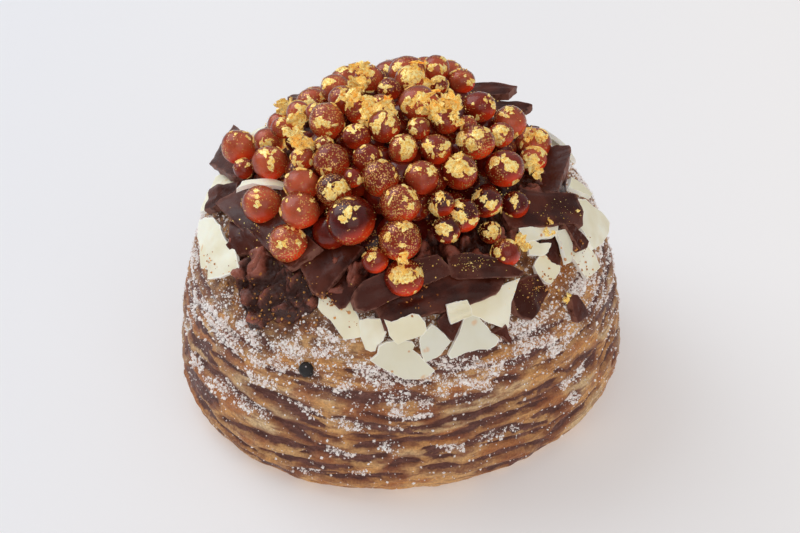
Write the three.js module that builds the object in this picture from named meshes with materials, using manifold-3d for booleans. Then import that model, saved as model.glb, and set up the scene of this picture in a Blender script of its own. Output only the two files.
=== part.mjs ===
import * as THREE from "three";
import { mergeVertices } from "three/addons/utils/BufferGeometryUtils.js";
import Module from "manifold-3d";

// A croissant doughnut: a low drum of plain and chocolate dough rolled in thin wavy layers. Chocolate
// cream lies on its top, with shards of white and dark chocolate round it and a mound of jelly pearls.
// Millimetres, +Z up. The origin is the middle of the flat underside, and -Y is the front.

// The drum is widest at its waist near the foot, and rounds over to a flat top.
const DOUGH = { radius: 45.2, height: 47, waist: 9, foot: 40.4, squareness: 6.8, shoulder: 1.44 };
const LEAN = { x: -0.5, y: -1.8 }; // how far the top has slid sideways over the foot
const LAYER = { pitch: 3.2, depth: 0.55, last: 51 }; // measured up the outline, to the last layer
const TOP_ROWS = [57, 65, 73]; // plain rows of faces under the toppings
const ROUND = 42; // faces round the drum

const CREAM = { reach: 32.5, thick: 1.6, clear: 1.75, rings: 4, round: 22 }; // clear of the dough's layers
const WHITE_THICK = 0.9;
const DARK_THICK = 1.7;
const GAP = 0.3; // between pieces that touch

// The middles of the pearls lie on half an ellipsoid that slants from the front left to the back.
const MOUND = { y: -5, slant: 0.13, long: 34, wide: 28, foot: 45, rise: 20.5 };
const CORE = { front: 30.6, back: 32.6, wide: 26.8, rise: 19.3, hollow: 0.12, rings: 4, round: 14 };
const FILL = { largest: 3.3, smallest: 2.6, step: 0.1, darts: 40, closeness: 0.95, seed: 7 };
const SMALL_PEARL = 3.25; // a pearl whose radius is less has fewer sides

const wasm = await Module();
wasm.setup();

function material(color, roughness) {
  return new THREE.MeshStandardMaterial({ color, roughness, metalness: 0 });
}

const PASTRY = material(0xb08048, 0.8);
const CREAM_BROWN = material(0x35221c, 0.45);
const WHITE_CHOCOLATE = material(0xe6e2cc, 0.5);
const DARK_CHOCOLATE = material(0x3a2624, 0.4);
const JELLY = material(0x7e2a1c, 0.15);

const degrees = THREE.MathUtils.degToRad;
const fade = THREE.MathUtils.smoothstep;

// Random numbers from 0 to 1 by a linear congruential rule, the same on every run.
function draws(seed) {
  let state = seed >>> 0;
  return () => {
    state = (Math.imul(state, 1664525) + 1013904223) >>> 0;
    return state / 4294967296;
  };
}

// The drum's outline: a quarter ellipse from the foot to the waist, then a superellipse to the top.
function drumOutline(steps) {
  const points = [];
  for (let i = 0; i <= steps; i++) {
    const turn = (i / steps) * (Math.PI / 2);
    const out = DOUGH.foot + (DOUGH.radius - DOUGH.foot) * Math.sin(turn);
    points.push(new THREE.Vector2(out, DOUGH.waist * (1 - Math.cos(turn))));
  }
  for (let i = 1; i <= 4 * steps; i++) {
    const share = Math.sin((i / (4 * steps)) * (Math.PI / 2));
    const up = share ** (2 / DOUGH.shoulder);
    const out = DOUGH.radius * Math.max(0, 1 - share * share) ** (1 / DOUGH.squareness);
    points.push(new THREE.Vector2(out, DOUGH.waist + (DOUGH.height - DOUGH.waist) * up));
  }
  return points;
}

const OUTLINE = drumOutline(400);
const RUN = [0]; // length up the outline to each of its points
for (let i = 1; i < OUTLINE.length; i++) {
  RUN.push(RUN[i - 1] + OUTLINE[i].distanceTo(OUTLINE[i - 1]));
}
const WHOLE_RUN = RUN[RUN.length - 1];

// The outline's point at a length up it, and the outward normal there.
function outlineAt(run) {
  const at = THREE.MathUtils.clamp(run, 0, WHOLE_RUN);
  let i = 1;
  while (i < RUN.length - 1 && RUN[i] < at) i++;
  const share = (at - RUN[i - 1]) / (RUN[i] - RUN[i - 1]);
  const point = OUTLINE[i - 1].clone().lerp(OUTLINE[i], share);
  const along = OUTLINE[i].clone().sub(OUTLINE[i - 1]).normalize();
  return { out: point.x, up: point.y, normalOut: along.y, normalUp: -along.x };
}

// The length up the outline at which its upper part is as far out as asked.
function runAtRadius(radius) {
  let i = OUTLINE.length - 1;
  while (OUTLINE[i].x < radius) i--;
  return RUN[i];
}

// Seen from above the drum isn't quite round.
function plan(turn) {
  return 1 + 0.023 * Math.cos(2 * turn - 2.02) + 0.014 * Math.cos(3 * turn + 0.69);
}

// The point at an angle round the drum and a length up its outline, lifted off it by a distance.
function onDrum(turn, run, lift = 0) {
  const o = outlineAt(run);
  const out = (o.out + lift * o.normalOut) * plan(turn);
  const up = o.up + lift * o.normalUp;
  const lean = THREE.MathUtils.clamp(up / DOUGH.height, 0, 1);
  const x = out * Math.cos(turn) + LEAN.x * lean;
  const y = out * Math.sin(turn) + LEAN.y * lean;
  return new THREE.Vector3(x, y, up);
}

// How far the layers wander up and down the side at an angle round the drum.
function wander(turn, run) {
  const broad = 1.5 * Math.sin(turn + 0.9) + 0.9 * Math.sin(2 * turn + 4.0 + 0.02 * run);
  const fine = 0.55 * Math.sin(5 * turn + 1.7 + 0.11 * run) + 0.3 * Math.sin(9 * turn + 0.4 - 0.07 * run);
  return fade(run, 0, 8) * (broad + fine);
}

// How strongly a layer stands out: layers fade, and come back, and fade out at the foot.
function standing(turn, run) {
  const patch = 0.68 + 0.32 * Math.sin(3 * turn + 0.31 * run) * Math.cos(2 * turn - 0.17 * run + 1.3);
  return fade(run, 1, 7) * patch;
}

function geometry(points, faces) {
  const made = new THREE.BufferGeometry().setFromPoints(points);
  made.setIndex(faces);
  return made;
}

// A closed surface from rows of points: each row goes once round, and one point closes each end.
function closedRows(rows, first, last) {
  const round = rows[0].length;
  const points = [first, ...rows.flat(), last];
  const end = points.length - 1;
  const faces = [];
  const id = (row, i) => 1 + row * round + (i % round);
  for (let i = 0; i < round; i++) {
    faces.push(0, id(0, i + 1), id(0, i));
    for (let row = 0; row < rows.length - 1; row++) {
      faces.push(id(row, i), id(row, i + 1), id(row + 1, i));
      faces.push(id(row, i + 1), id(row + 1, i + 1), id(row + 1, i));
    }
    faces.push(id(rows.length - 1, i), id(rows.length - 1, i + 1), end);
  }
  return geometry(points, faces);
}

// A row of points, one for each of a number of equal turns.
function ring(count, place) {
  return Array.from({ length: count }, (_, i) => place((i / count) * 2 * Math.PI));
}

// The dough's rows of faces follow its layers: one row on each crest and one in each groove.
// grow lifts the whole skin, for the room that the toppings leave to it.
function doughSolid(grow = 0) {
  const rows = [ring(ROUND, (turn) => onDrum(turn, 0, grow).setZ(-grow))];
  let crest = 1;
  for (let run = LAYER.pitch / 2; run < LAYER.last; run += LAYER.pitch / 2) {
    const side = crest * LAYER.depth;
    const place = (turn) => onDrum(turn, run + wander(turn, run), side * standing(turn, run) + grow);
    rows.push(ring(ROUND, place));
    crest = -crest;
  }
  for (const run of TOP_ROWS) {
    rows.push(ring(ROUND, (turn) => onDrum(turn, run, grow)));
  }
  return closedRows(rows, new THREE.Vector3(0, 0, -grow), onDrum(0, WHOLE_RUN, grow));
}

// The cream's ragged reach: a torn tongue of it runs down at the front left.
function creamReach(turn) {
  const tongue = (at, width, length) => {
    const off = turn - degrees(at);
    const least = Math.atan2(Math.sin(off), Math.cos(off));
    return length * Math.exp(-((least / degrees(width)) ** 2));
  };
  const ragged = 0.8 * Math.sin(5 * turn + 0.8) + 0.5 * Math.sin(11 * turn + 2.0);
  return CREAM.reach + ragged + tongue(-124, 24, 7.5);
}

// The cream is thin at its rim and thick inside, with lumps.
function creamLift(turn, share) {
  const lumps = Math.sin(7 * turn + 5 * share) * Math.cos(4 * turn - 9 * share + 1);
  return CREAM.thick * (1 - share ** 4) + 2.4 * lumps * share * (1 - share) + 1.1;
}

function creamSolid(grow = 0, foot = CREAM.clear) {
  const lower = [];
  const upper = [];
  for (let k = 1; k <= CREAM.rings; k++) {
    const share = Math.sqrt(k / CREAM.rings);
    const run = (turn) => runAtRadius(creamReach(turn) * share);
    const lift = (turn) => CREAM.clear + creamLift(turn, share) + grow;
    lower.push(ring(CREAM.round, (turn) => onDrum(turn, run(turn), foot)));
    upper.unshift(ring(CREAM.round, (turn) => onDrum(turn, run(turn), lift(turn))));
  }
  const floor = onDrum(0, WHOLE_RUN, foot);
  const peak = onDrum(0, WHOLE_RUN, CREAM.clear + creamLift(0, 0) + grow);
  return closedRows([...lower, ...upper], floor, peak);
}

// A closed slab of columns x rows cells: two faces split alike, and the four edges between them.
// place(u, v, side) gives its point for u and v from -1 to 1, on the lower (-1) or upper (1) face.
function slab(columns, rows, place) {
  const points = [];
  const faces = [];
  const wide = columns + 1;
  const sheet = wide * (rows + 1);
  for (const side of [-1, 1]) {
    for (let k = 0; k < sheet; k++) {
      const u = (2 * (k % wide)) / columns - 1;
      const v = (2 * Math.floor(k / wide)) / rows - 1;
      points.push(place(u, v, side));
    }
  }
  for (let j = 0; j < rows; j++) {
    for (let i = 0; i < columns; i++) {
      const a = j * wide + i;
      const [b, c, d] = [a + 1, a + wide + 1, a + wide];
      faces.push(a, c, b, a, d, c);
      faces.push(...[a, b, c, a, c, d].map((v) => v + sheet));
    }
  }
  const rim = [];
  for (let i = 0; i < columns; i++) rim.push(i);
  for (let j = 0; j < rows; j++) rim.push(j * wide + columns);
  for (let i = columns; i > 0; i--) rim.push(rows * wide + i);
  for (let j = rows; j > 0; j--) rim.push(j * wide);
  rim.forEach((a, k) => {
    const b = rim[(k + 1) % rim.length];
    faces.push(a, b, b + sheet, a, b + sheet, a + sheet);
  });
  return geometry(points, faces);
}

// A shard's outline in its own plane, from its tail (u = -1) to its nose (u = 1).
// size: length, width at the tail, width at the nose. skew: how far each end's left corner leads.
// Its broken edges waver by a sine that its place sets. grow widens it twice, as its edges slant.
function shardOutline(shard, u, v, grow) {
  const [long, tail, nose] = shard.size;
  const [tailSkew, noseSkew] = shard.skew;
  const width = (tail * (1 - u)) / 2 + (nose * (1 + u)) / 2;
  const skew = (tailSkew * (1 - u)) / 2 + (noseSkew * (1 + u)) / 2;
  const phase = shard.at[0] + 2 * shard.at[1];
  const x = u * (long / 2 + 2 * grow) + (v * skew) / 2 + 0.35 * u * u * Math.sin(4 * v + phase);
  const y = v * (width / 2 + 2 * grow) + 0.35 * v * Math.abs(v) * Math.sin(5 * u + 2 * phase);
  return { x, y };
}

// Shards on the shoulder lie along the drum and bend with it.
// at: angle round the drum in degrees, how far out, and height over the drum.
// heading: degrees from straight downhill. tip: how much higher the tail lies than the nose.
const SHOULDER_SHARDS = [
  { name: "white_roll", at: [-74, 37.5, 4.6], heading: 8, size: [3, 4, 3.4], skew: [0.7, 0.2], tip: 0.4 },
  { name: "white_right_slim", at: [-34, 35.9, 3.7], heading: -26,
    size: [5, 2.2, 1.7], skew: [0, 0], tip: 1 },
  { name: "white_right_bar", at: [-40, 32.9, 4.1], heading: -36,
    size: [2.4, 8.5, 6.5], skew: [-2.5, -2], tip: 0.6 },
  { name: "white_front_c", at: [-88, 38.7, 3.4], heading: -11,
    size: [4.8, 8.4, 5.6], skew: [-1.5, -0.5], tip: 0.8 },
  { name: "white_front_f", at: [-63, 38, 3], heading: -3,
    size: [6.6, 13.4, 4.4], skew: [-1, 2.4], tip: 1.6 },
  { name: "white_right", at: [-15, 37.4, 2.6], heading: 40, size: [12, 11, 8.4], skew: [8, 8], tip: 1.2 },
  { name: "white_front_a", at: [-104, 37.9, 1.5], heading: 33,
    size: [8, 5.5, 4.4], skew: [2, 2], tip: 0.6 },
  { name: "white_front_b", at: [-97, 38.6, 2], heading: 0, size: [5.2, 4.6, 3.6], skew: [0, 0.6], tip: 1 },
  { name: "white_front_d", at: [-88, 40.8, 1.6], heading: 9,
    size: [6, 6.4, 12.4], skew: [1.7, 6], tip: 0.3 },
  { name: "white_front_e", at: [-70, 39.9, 2], heading: -1,
    size: [7, 1.6, 10.6], skew: [0.2, -1], tip: 1.1 },
  { name: "white_front_g", at: [-80, 39.9, 2.1], heading: -5, size: [5.6, 5.4, 4], skew: [1, 1.2], tip: 1 },
  { name: "white_right_chip", at: [-42, 36.8, 1.9], heading: -58,
    size: [4.4, 5, 4.5], skew: [-1, 0], tip: 0.5 },
  { name: "white_right_crumb", at: [-43, 34.3, 3.4], heading: -59,
    size: [2.8, 3.2, 3], skew: [-1.5, -1.5], tip: 0.2 },
  { name: "white_right_low", at: [-26, 38.8, 1.6], heading: 33,
    size: [8.4, 2.4, 5], skew: [3, 4], tip: 0.5 },
  { name: "white_right_high", at: [-8, 33.8, 3.4], heading: 20,
    size: [5, 3, 2.2], skew: [0.8, 0.3], tip: 0.6 },
  { name: "white_left", at: [-152, 36.9, 2.5], heading: -55,
    size: [11.4, 8.4, 10.6], skew: [-5, -5], tip: 0.8 },
  { name: "white_left_high", at: [-175, 34, 2], heading: -40,
    size: [11, 6, 9], skew: [-1.5, -3], tip: 0.6 },
  { name: "white_back_a", at: [153, 30.5, 2.8], heading: 30, size: [6, 4, 3], skew: [0, 0], tip: 0.6 },
  { name: "white_back_b", at: [128, 36, 1.5], heading: 18, size: [9, 7, 5], skew: [1, 2], tip: 1.4 },
  { name: "white_back_c", at: [102, 37.6, 1.4], heading: -14, size: [7, 8, 10], skew: [-2, 0], tip: 1 },
  { name: "white_back_d", at: [80, 37.8, 1.4], heading: 10, size: [8, 5, 9], skew: [2, 1], tip: 1.2 },
  { name: "white_back_e", at: [56, 35.8, 1.7], heading: -28, size: [9, 8, 5], skew: [0, 2], tip: 1.6 },
  { name: "white_back_f", at: [30, 36.6, 1.5], heading: 24, size: [8, 6, 9], skew: [-2, 1], tip: 1.2 },
  { name: "dark_right_mid", at: [-37, 35.1, 2], heading: -19, size: [4, 3.6, 3.2], skew: [0, 1], tip: 0.8 },
  { name: "dark_right_roll", at: [-29, 35.6, 4.3], heading: 9,
    size: [4, 2.2, 2], skew: [1.4, 0.4], tip: 0.6 },
  { name: "dark_right_low", at: [-50, 38.3, 2.1], heading: 14,
    size: [7.4, 7.6, 8.2], skew: [-1.7, -3], tip: 0.4 },
  { name: "dark_right_sliver", at: [-37, 41.1, 2], heading: 9,
    size: [5, 1.6, 2.4], skew: [1.4, 0.7], tip: 0.1 },
  { name: "dark_front_wedge", at: [-76, 39, 2], heading: 12,
    size: [4.6, 4.2, 1.2], skew: [2, 0.4], tip: 0.2 },
  { name: "dark_front_dot", at: [-62, 40.3, 2], heading: 36,
    size: [3.8, 2.4, 1.4], skew: [2, 0], tip: 0.1 },
];

// Other shards lie freely on the cream: middle [x, y, z], then turned by their heading about Z,
// by how far the nose points up, and by their roll. bow: how far the middle stands up.
const FREE_SHARDS = [
  { name: "white_crescent", at: [-25.8, -16.8, 53], heading: -4, nose: 0, roll: -8,
    size: [9.2, 2, 2.4], skew: [0, 0], bow: 1.2 },
  { name: "dark_left_long", at: [-24.6, -22.8, 48.8], heading: -55, nose: -2, roll: 36,
    size: [25, 8, 6.6], skew: [2, 1.5], bow: 0.8 },
  { name: "dark_front_left", at: [-11.8, -32.8, 47.4], heading: -100, nose: -29, roll: 8,
    size: [10.4, 14.5, 3.6], skew: [-5, -5], bow: 0.5 },
  { name: "dark_front_a", at: [0.8, -36.9, 45.7], heading: 21, nose: 10, roll: 44,
    size: [18.4, 5.4, 4.4], skew: [0, 1.4], bow: 0.8 },
  { name: "dark_front_b", at: [16, -33.6, 46.7], heading: 1, nose: -5, roll: 44,
    size: [13, 4.6, 3.4], skew: [-0.5, -1], bow: 0.5 },
  { name: "dark_front_under", at: [7.2, -36.7, 42.8], heading: 15, nose: 5, roll: 40,
    size: [25, 7.8, 5.6], skew: [-3, 4], bow: 0.8 },
  { name: "dark_front_behind", at: [-9.6, -36, 44.2], heading: -88, nose: -37, roll: 9,
    size: [6, 9.4, 2.6], skew: [-4.6, -3.2], bow: 0.3 },
  { name: "dark_right", at: [26.2, -17, 48.3], heading: 21, nose: -15, roll: 20,
    size: [19, 9.6, 7.4], skew: [3.6, 0], bow: 1 },
  { name: "dark_right_back", at: [26.8, -5.4, 49.6], heading: 2, nose: 0, roll: 16,
    size: [10.4, 11, 10.6], skew: [2, 2.4], bow: -1 },
  { name: "dark_left_back", at: [-31.6, 1, 48.8], heading: 120, nose: -15, roll: -24,
    size: [15.6, 9, 9.6], skew: [-5.4, -6.4], bow: 0.6 },
  { name: "dark_left_low", at: [-34, -9, 45.7], heading: -36, nose: 31, roll: 33,
    size: [9.2, 5.6, 4], skew: [-1.4, -1.4], bow: 0.4 },
  { name: "dark_left_chunk", at: [-28.6, -23, 45.8], heading: -81, nose: -24, roll: 41,
    size: [7.4, 7, 8.6], skew: [3.4, 4], bow: 0.8 },
  { name: "dark_back", at: [15.4, 17.2, 53.2], heading: -13, nose: 11, roll: 4,
    size: [15, 5.4, 3.6], skew: [0, 1.5], bow: 0.6 },
  { name: "dark_back_tip", at: [22, 20.6, 47.8], heading: -8, nose: 2, roll: 10,
    size: [8.6, 4.6, 1.8], skew: [-1, 1.5], bow: 0.2 },
  { name: "dark_back_left", at: [-14, 18.5, 49.8], heading: 132, nose: -6, roll: 4,
    size: [15, 9.6, 8], skew: [0, 2], bow: 0.9 },
];

// A shard as a solid: bent along the drum, or flat with a bow and then turned.
function shardSolid(shard, thick, grow = 0) {
  const half = thick / 2 + grow;
  const cells = shard.size[0] < 6 ? 2 : 3;
  if (shard.bow !== undefined) {
    const made = slab(cells, 1, (u, v, side) => {
      const p = shardOutline(shard, u, v, grow);
      return new THREE.Vector3(p.x, p.y, shard.bow * (1 - u * u) + side * half);
    });
    const turn = new THREE.Euler(degrees(shard.roll), degrees(-shard.nose), degrees(shard.heading), "ZYX");
    const turned = new THREE.Quaternion().setFromEuler(turn);
    const place = new THREE.Matrix4().compose(middle(shard), turned, new THREE.Vector3(1, 1, 1));
    return solidOf(made.applyMatrix4(place));
  }
  const [round, radius, lift] = shard.at;
  const uphill = runAtRadius(radius);
  const [cos, sin] = [Math.cos(degrees(shard.heading)), Math.sin(degrees(shard.heading))];
  const bent = slab(cells, 1, (u, v, side) => {
    const p = shardOutline(shard, u, v, grow);
    const down = p.x * cos - p.y * sin;
    const across = p.x * sin + p.y * cos;
    const over = lift - (shard.tip * u) / 2 + side * half;
    return onDrum(degrees(round) + across / radius, uphill - down, over);
  });
  return solidOf(bent);
}

function middle(shard) {
  if (shard.bow !== undefined) return new THREE.Vector3(...shard.at);
  const [round, radius, lift] = shard.at;
  return onDrum(degrees(round), runAtRadius(radius), lift);
}

// Pearls that show as marks of the heap: x, y and diameter. Each lies at the mound's height.
const MARKED_PEARLS = [
  [-24.5, -12.5, 6.6], [-22.5, -2.5, 4.6], [-12.5, 6.5, 6], [-19.5, 0, 4.6], [-16, -4.5, 3.8],
  [-13.5, -9.5, 7.1], [-11, -3, 5.7], [-6, 5, 5.8], [-2, -1.5, 4.6], [1.5, 9, 7.4],
  [7, 11.5, 5.4], [12, 10, 5.4], [7.5, 2, 3.8], [-8, -8, 5.1], [-3.5, -8.5, 5.6],
  [-3, -14, 6.3], [-8, -16, 5.2], [3.5, -6.5, 7.4], [9, -5, 4.2], [8.5, -10.5, 5.2],
  [15, -2.5, 6.5], [3.5, -14, 4.5], [12.5, -10, 4], [21, -1.5, 6.6], [19, -8, 5.1],
  [26, 0.5, 7], [14, -13.5, 6.9], [6.5, -18.5, 5.9], [0.5, -19.5, 5.7], [-6, -21.5, 5.7],
  [-14, -16.5, 3.8], [-18, -17.5, 4.5], [-12.5, -21, 6.8], [-18, -23.5, 6.2], [-8.5, -25.5, 3.8],
  [-12, -27, 6.7], [-3.5, -26, 7.3], [4, -25, 6.6], [11, -21.5, 7], [19.5, -15.5, 7.3],
  [25.5, -5.5, 5.4], [-25.5, -21, 7.5], [-18.2, -28, 7], [-20.5, -31, 7.7], [-9, -32.5, 9.4],
  [0, -30.5, 7.8], [0, -35, 7.7], [-4.5, -37.5, 4.8], [0.7, -38, 7], [7.5, -28.5, 4.9],
  [11.5, -28.5, 6.2], [16, -24, 6.1], [21.5, -19.5, 5.8], [8.4, -31.7, 5.3],
];

// Pearls that have rolled off the heap: x, y, z and diameter.
const STRAY_PEARLS = [
  [-31, -4.9, 54.7, 7.2],
  [-29.8, -10.4, 53.2, 4],
  [16.5, -26.8, 49.8, 4.4],
  [19.4, -31.2, 48.2, 5.6],
];

// How much deeper some pearls at the back have settled, and those that are left out, because the
// photograph shows the dark shard at the back right over them. Both by their number in the heap.
const SETTLED = [
  [2, 0.8], [9, 1], [11, 1.2], [56, 1.3], [59, 2.2], [64, 1], [66, 1.8], [67, 2.2], [68, 1.5],
];
const LEFT_OUT = [55, 57, 58, 65];

// The mound's point over x and y.
function onMound(x, y) {
  const off = Math.hypot((x - MOUND.slant * y) / MOUND.wide, (y - MOUND.y) / MOUND.long);
  return new THREE.Vector3(x, y, MOUND.foot + MOUND.rise * Math.sqrt(Math.max(0, 1 - off * off)));
}

// The marked pearls, and others thrown at the mound that stick where there is room for them,
// the largest first.
function heapedPearls() {
  const draw = draws(FILL.seed);
  const pearls = MARKED_PEARLS.map(([x, y, diameter]) => ({ at: onMound(x, y), r: diameter / 2 }));
  const strays = STRAY_PEARLS.map(([x, y, z, wide]) => {
    return { at: new THREE.Vector3(x, y, z), r: 0.55 * wide };
  });
  for (let r = FILL.largest; r > FILL.smallest; r -= FILL.step) {
    for (let dart = 0; dart < FILL.darts; dart++) {
      const turn = draw() * 2 * Math.PI;
      const off = Math.sqrt(draw()) * 0.95;
      const y = MOUND.y + off * MOUND.long * Math.sin(turn);
      const at = onMound(MOUND.slant * y + off * MOUND.wide * Math.cos(turn), y);
      const apart = (p) => p.at.distanceTo(at) > FILL.closeness * (p.r + r);
      if ([...pearls, ...strays].every(apart)) pearls.push({ at, r });
    }
  }
  for (const [i, depth] of SETTLED) pearls[i].at.z -= depth;
  return pearls.filter((_, i) => !LEFT_OUT.includes(i));
}

// The core under the pearls: a smaller mound inside theirs, drawn in most at the front, and hollow
// at the back right, where no pearls lie.
function moundCore() {
  const rows = [];
  for (let k = CORE.rings; k >= 1; k--) {
    const up = (k / CORE.rings) * (Math.PI / 2);
    const row = ring(CORE.round, (turn) => {
      const long = turn > Math.PI ? CORE.front : CORE.back;
      const drawnIn = turn < Math.PI / 2 ? 1 - CORE.hollow * Math.sin(2 * turn) : 1;
      const y = MOUND.y + long * drawnIn * Math.sin(up) * Math.sin(turn);
      const x = MOUND.slant * y + CORE.wide * drawnIn * Math.sin(up) * Math.cos(turn);
      return new THREE.Vector3(x, y, MOUND.foot + CORE.rise * Math.cos(up));
    });
    rows.push(row);
  }
  const x = MOUND.slant * MOUND.y;
  const floor = new THREE.Vector3(x, MOUND.y, MOUND.foot - 1);
  return closedRows(rows, floor, new THREE.Vector3(x, MOUND.y, MOUND.foot + CORE.rise));
}

function pearlSolid(at, r) {
  const small = new THREE.DodecahedronGeometry(r * 1.06);
  const ball = r < SMALL_PEARL ? small : new THREE.IcosahedronGeometry(r * 1.02, 1);
  return solidOf(ball.translate(at.x, at.y, at.z));
}

function solidOf(made) {
  const bare = made.clone();
  for (const name of Object.keys(bare.attributes)) {
    if (name !== "position") bare.deleteAttribute(name);
  }
  const merged = mergeVertices(bare, 1e-3);
  const vertProperties = merged.attributes.position.array;
  const triVerts = new Uint32Array(merged.index.array);
  return new wasm.Manifold(new wasm.Mesh({ numProp: 3, vertProperties, triVerts }));
}

// A solid's biggest body, without the scraps that a cut leaves.
function largest(solid) {
  return solid.decompose().sort((a, b) => b.volume() - a.volume())[0];
}

// A mesh of a solid, with its own origin at the place given.
const group = new THREE.Group();
function add(name, solid, colour, place = new THREE.Vector3()) {
  const raw = solid.getMesh();
  const made = new THREE.BufferGeometry();
  made.setAttribute("position", new THREE.BufferAttribute(raw.vertProperties, 3));
  made.setIndex(new THREE.BufferAttribute(raw.triVerts, 1));
  made.translate(-place.x, -place.y, -place.z);
  const mesh = new THREE.Mesh(made, colour);
  mesh.name = name;
  mesh.position.copy(place);
  group.add(mesh);
}

add("dough", solidOf(doughSolid()), PASTRY);

// Each shard is cut clear of the dough and of the shards that lie on it, which are listed first.
const overDough = solidOf(doughSolid(GAP));
let room = overDough.subtract(overDough);
for (const shard of [...FREE_SHARDS, ...SHOULDER_SHARDS]) {
  const white = shard.name.startsWith("white");
  const thick = white ? WHITE_THICK : DARK_THICK;
  const solid = largest(shardSolid(shard, thick).subtract(room).subtract(overDough));
  add(`${shard.name}_shard`, solid, white ? WHITE_CHOCOLATE : DARK_CHOCOLATE, middle(shard));
  room = room.add(shardSolid(shard, thick, GAP));
}

add("chocolate_cream", largest(solidOf(creamSolid()).subtract(room)), CREAM_BROWN);

let heap = solidOf(moundCore());
for (const { at, r } of heapedPearls()) heap = heap.add(pearlSolid(at, r));
room = room.add(solidOf(creamSolid(GAP, -4)));
heap = largest(heap.subtract(room));
add("jelly_pearls", heap, JELLY);
STRAY_PEARLS.forEach(([x, y, z, diameter], i) => {
  const at = new THREE.Vector3(x, y, z);
  const clear = pearlSolid(at, diameter / 2).subtract(room.add(heap));
  add(`stray_pearl_${i + 1}`, largest(clear), JELLY, at);
  room = room.add(pearlSolid(at, diameter / 2 + GAP));
});

export default group;
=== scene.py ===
"""A doughnut of thin plain and chocolate layers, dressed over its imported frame.

Every length in a table or a function here is in millimetres, in the frame of the CAD model: +Z up,
the front at -Y, the origin in the middle of the flat underside. Meshes are put down in metres.
"""

import math
from collections import namedtuple

import bpy
import numpy as np
from bpy.props import FloatProperty, FloatVectorProperty, IntProperty, PointerProperty
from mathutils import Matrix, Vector
from numpy.linalg import norm


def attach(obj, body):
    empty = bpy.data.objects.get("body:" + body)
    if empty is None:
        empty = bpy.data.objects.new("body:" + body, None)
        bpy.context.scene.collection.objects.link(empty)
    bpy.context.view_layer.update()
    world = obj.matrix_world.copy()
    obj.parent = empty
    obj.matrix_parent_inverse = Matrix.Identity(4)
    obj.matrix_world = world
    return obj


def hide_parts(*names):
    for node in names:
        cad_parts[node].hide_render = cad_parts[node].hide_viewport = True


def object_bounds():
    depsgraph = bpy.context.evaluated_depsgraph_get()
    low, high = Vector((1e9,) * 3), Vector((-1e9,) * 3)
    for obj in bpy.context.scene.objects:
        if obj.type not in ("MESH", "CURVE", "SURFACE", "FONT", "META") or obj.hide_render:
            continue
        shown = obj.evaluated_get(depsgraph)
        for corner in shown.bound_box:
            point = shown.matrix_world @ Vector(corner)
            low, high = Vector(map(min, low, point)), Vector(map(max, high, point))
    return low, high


bl_info = {
    "name": "Layered Doughnut",
    "version": (1, 0, 0),
    "blender": (4, 5, 0),
    "location": "3D View > Sidebar > Doughnut",
    "description": "Makes a layered doughnut with jelly pearls, gold leaf and broken chocolate",
    "category": "Add Mesh",
}

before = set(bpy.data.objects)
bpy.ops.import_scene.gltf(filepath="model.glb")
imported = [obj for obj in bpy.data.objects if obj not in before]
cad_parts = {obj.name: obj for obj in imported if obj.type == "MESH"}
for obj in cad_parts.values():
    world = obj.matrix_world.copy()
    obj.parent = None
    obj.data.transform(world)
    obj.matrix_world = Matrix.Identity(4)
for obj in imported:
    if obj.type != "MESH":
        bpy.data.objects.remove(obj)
CAD_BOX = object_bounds()
LOWEST, HIGHEST = (np.array(corner) * 1000 for corner in CAD_BOX)

# The drum, the cream and the mound, with the same values as the CAD source.
RADIUS, HEIGHT, WAIST, FOOT, SQUARENESS, SHOULDER = 45.2, 47.0, 9.0, 40.4, 6.8, 1.44
LEAN_X, LEAN_Y = -0.5, -1.8
CREAM_REACH, CREAM_THICK, CREAM_CLEAR = 32.5, 1.6, 1.75
MOUND_Y, SLANT, MOUND_LONG, MOUND_WIDE, MOUND_FOOT, MOUND_RISE = -5.0, 0.13, 34.0, 28.0, 45.0, 20.5
FILL_LARGEST, FILL_SMALLEST, FILL_STEP, FILL_DARTS, FILL_SEED = 3.3, 2.6, 0.1, 40, 7
USUAL_STREAK = 0.95  # the usual width of a chocolate streak, for which the marks were made

# A shard: where it lies, its turn, its length and two widths, the skew of its ends, and its bow or tip.
Shard = namedtuple("Shard", ["name", "place", "pose", "size", "skew", "bend"])

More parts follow.
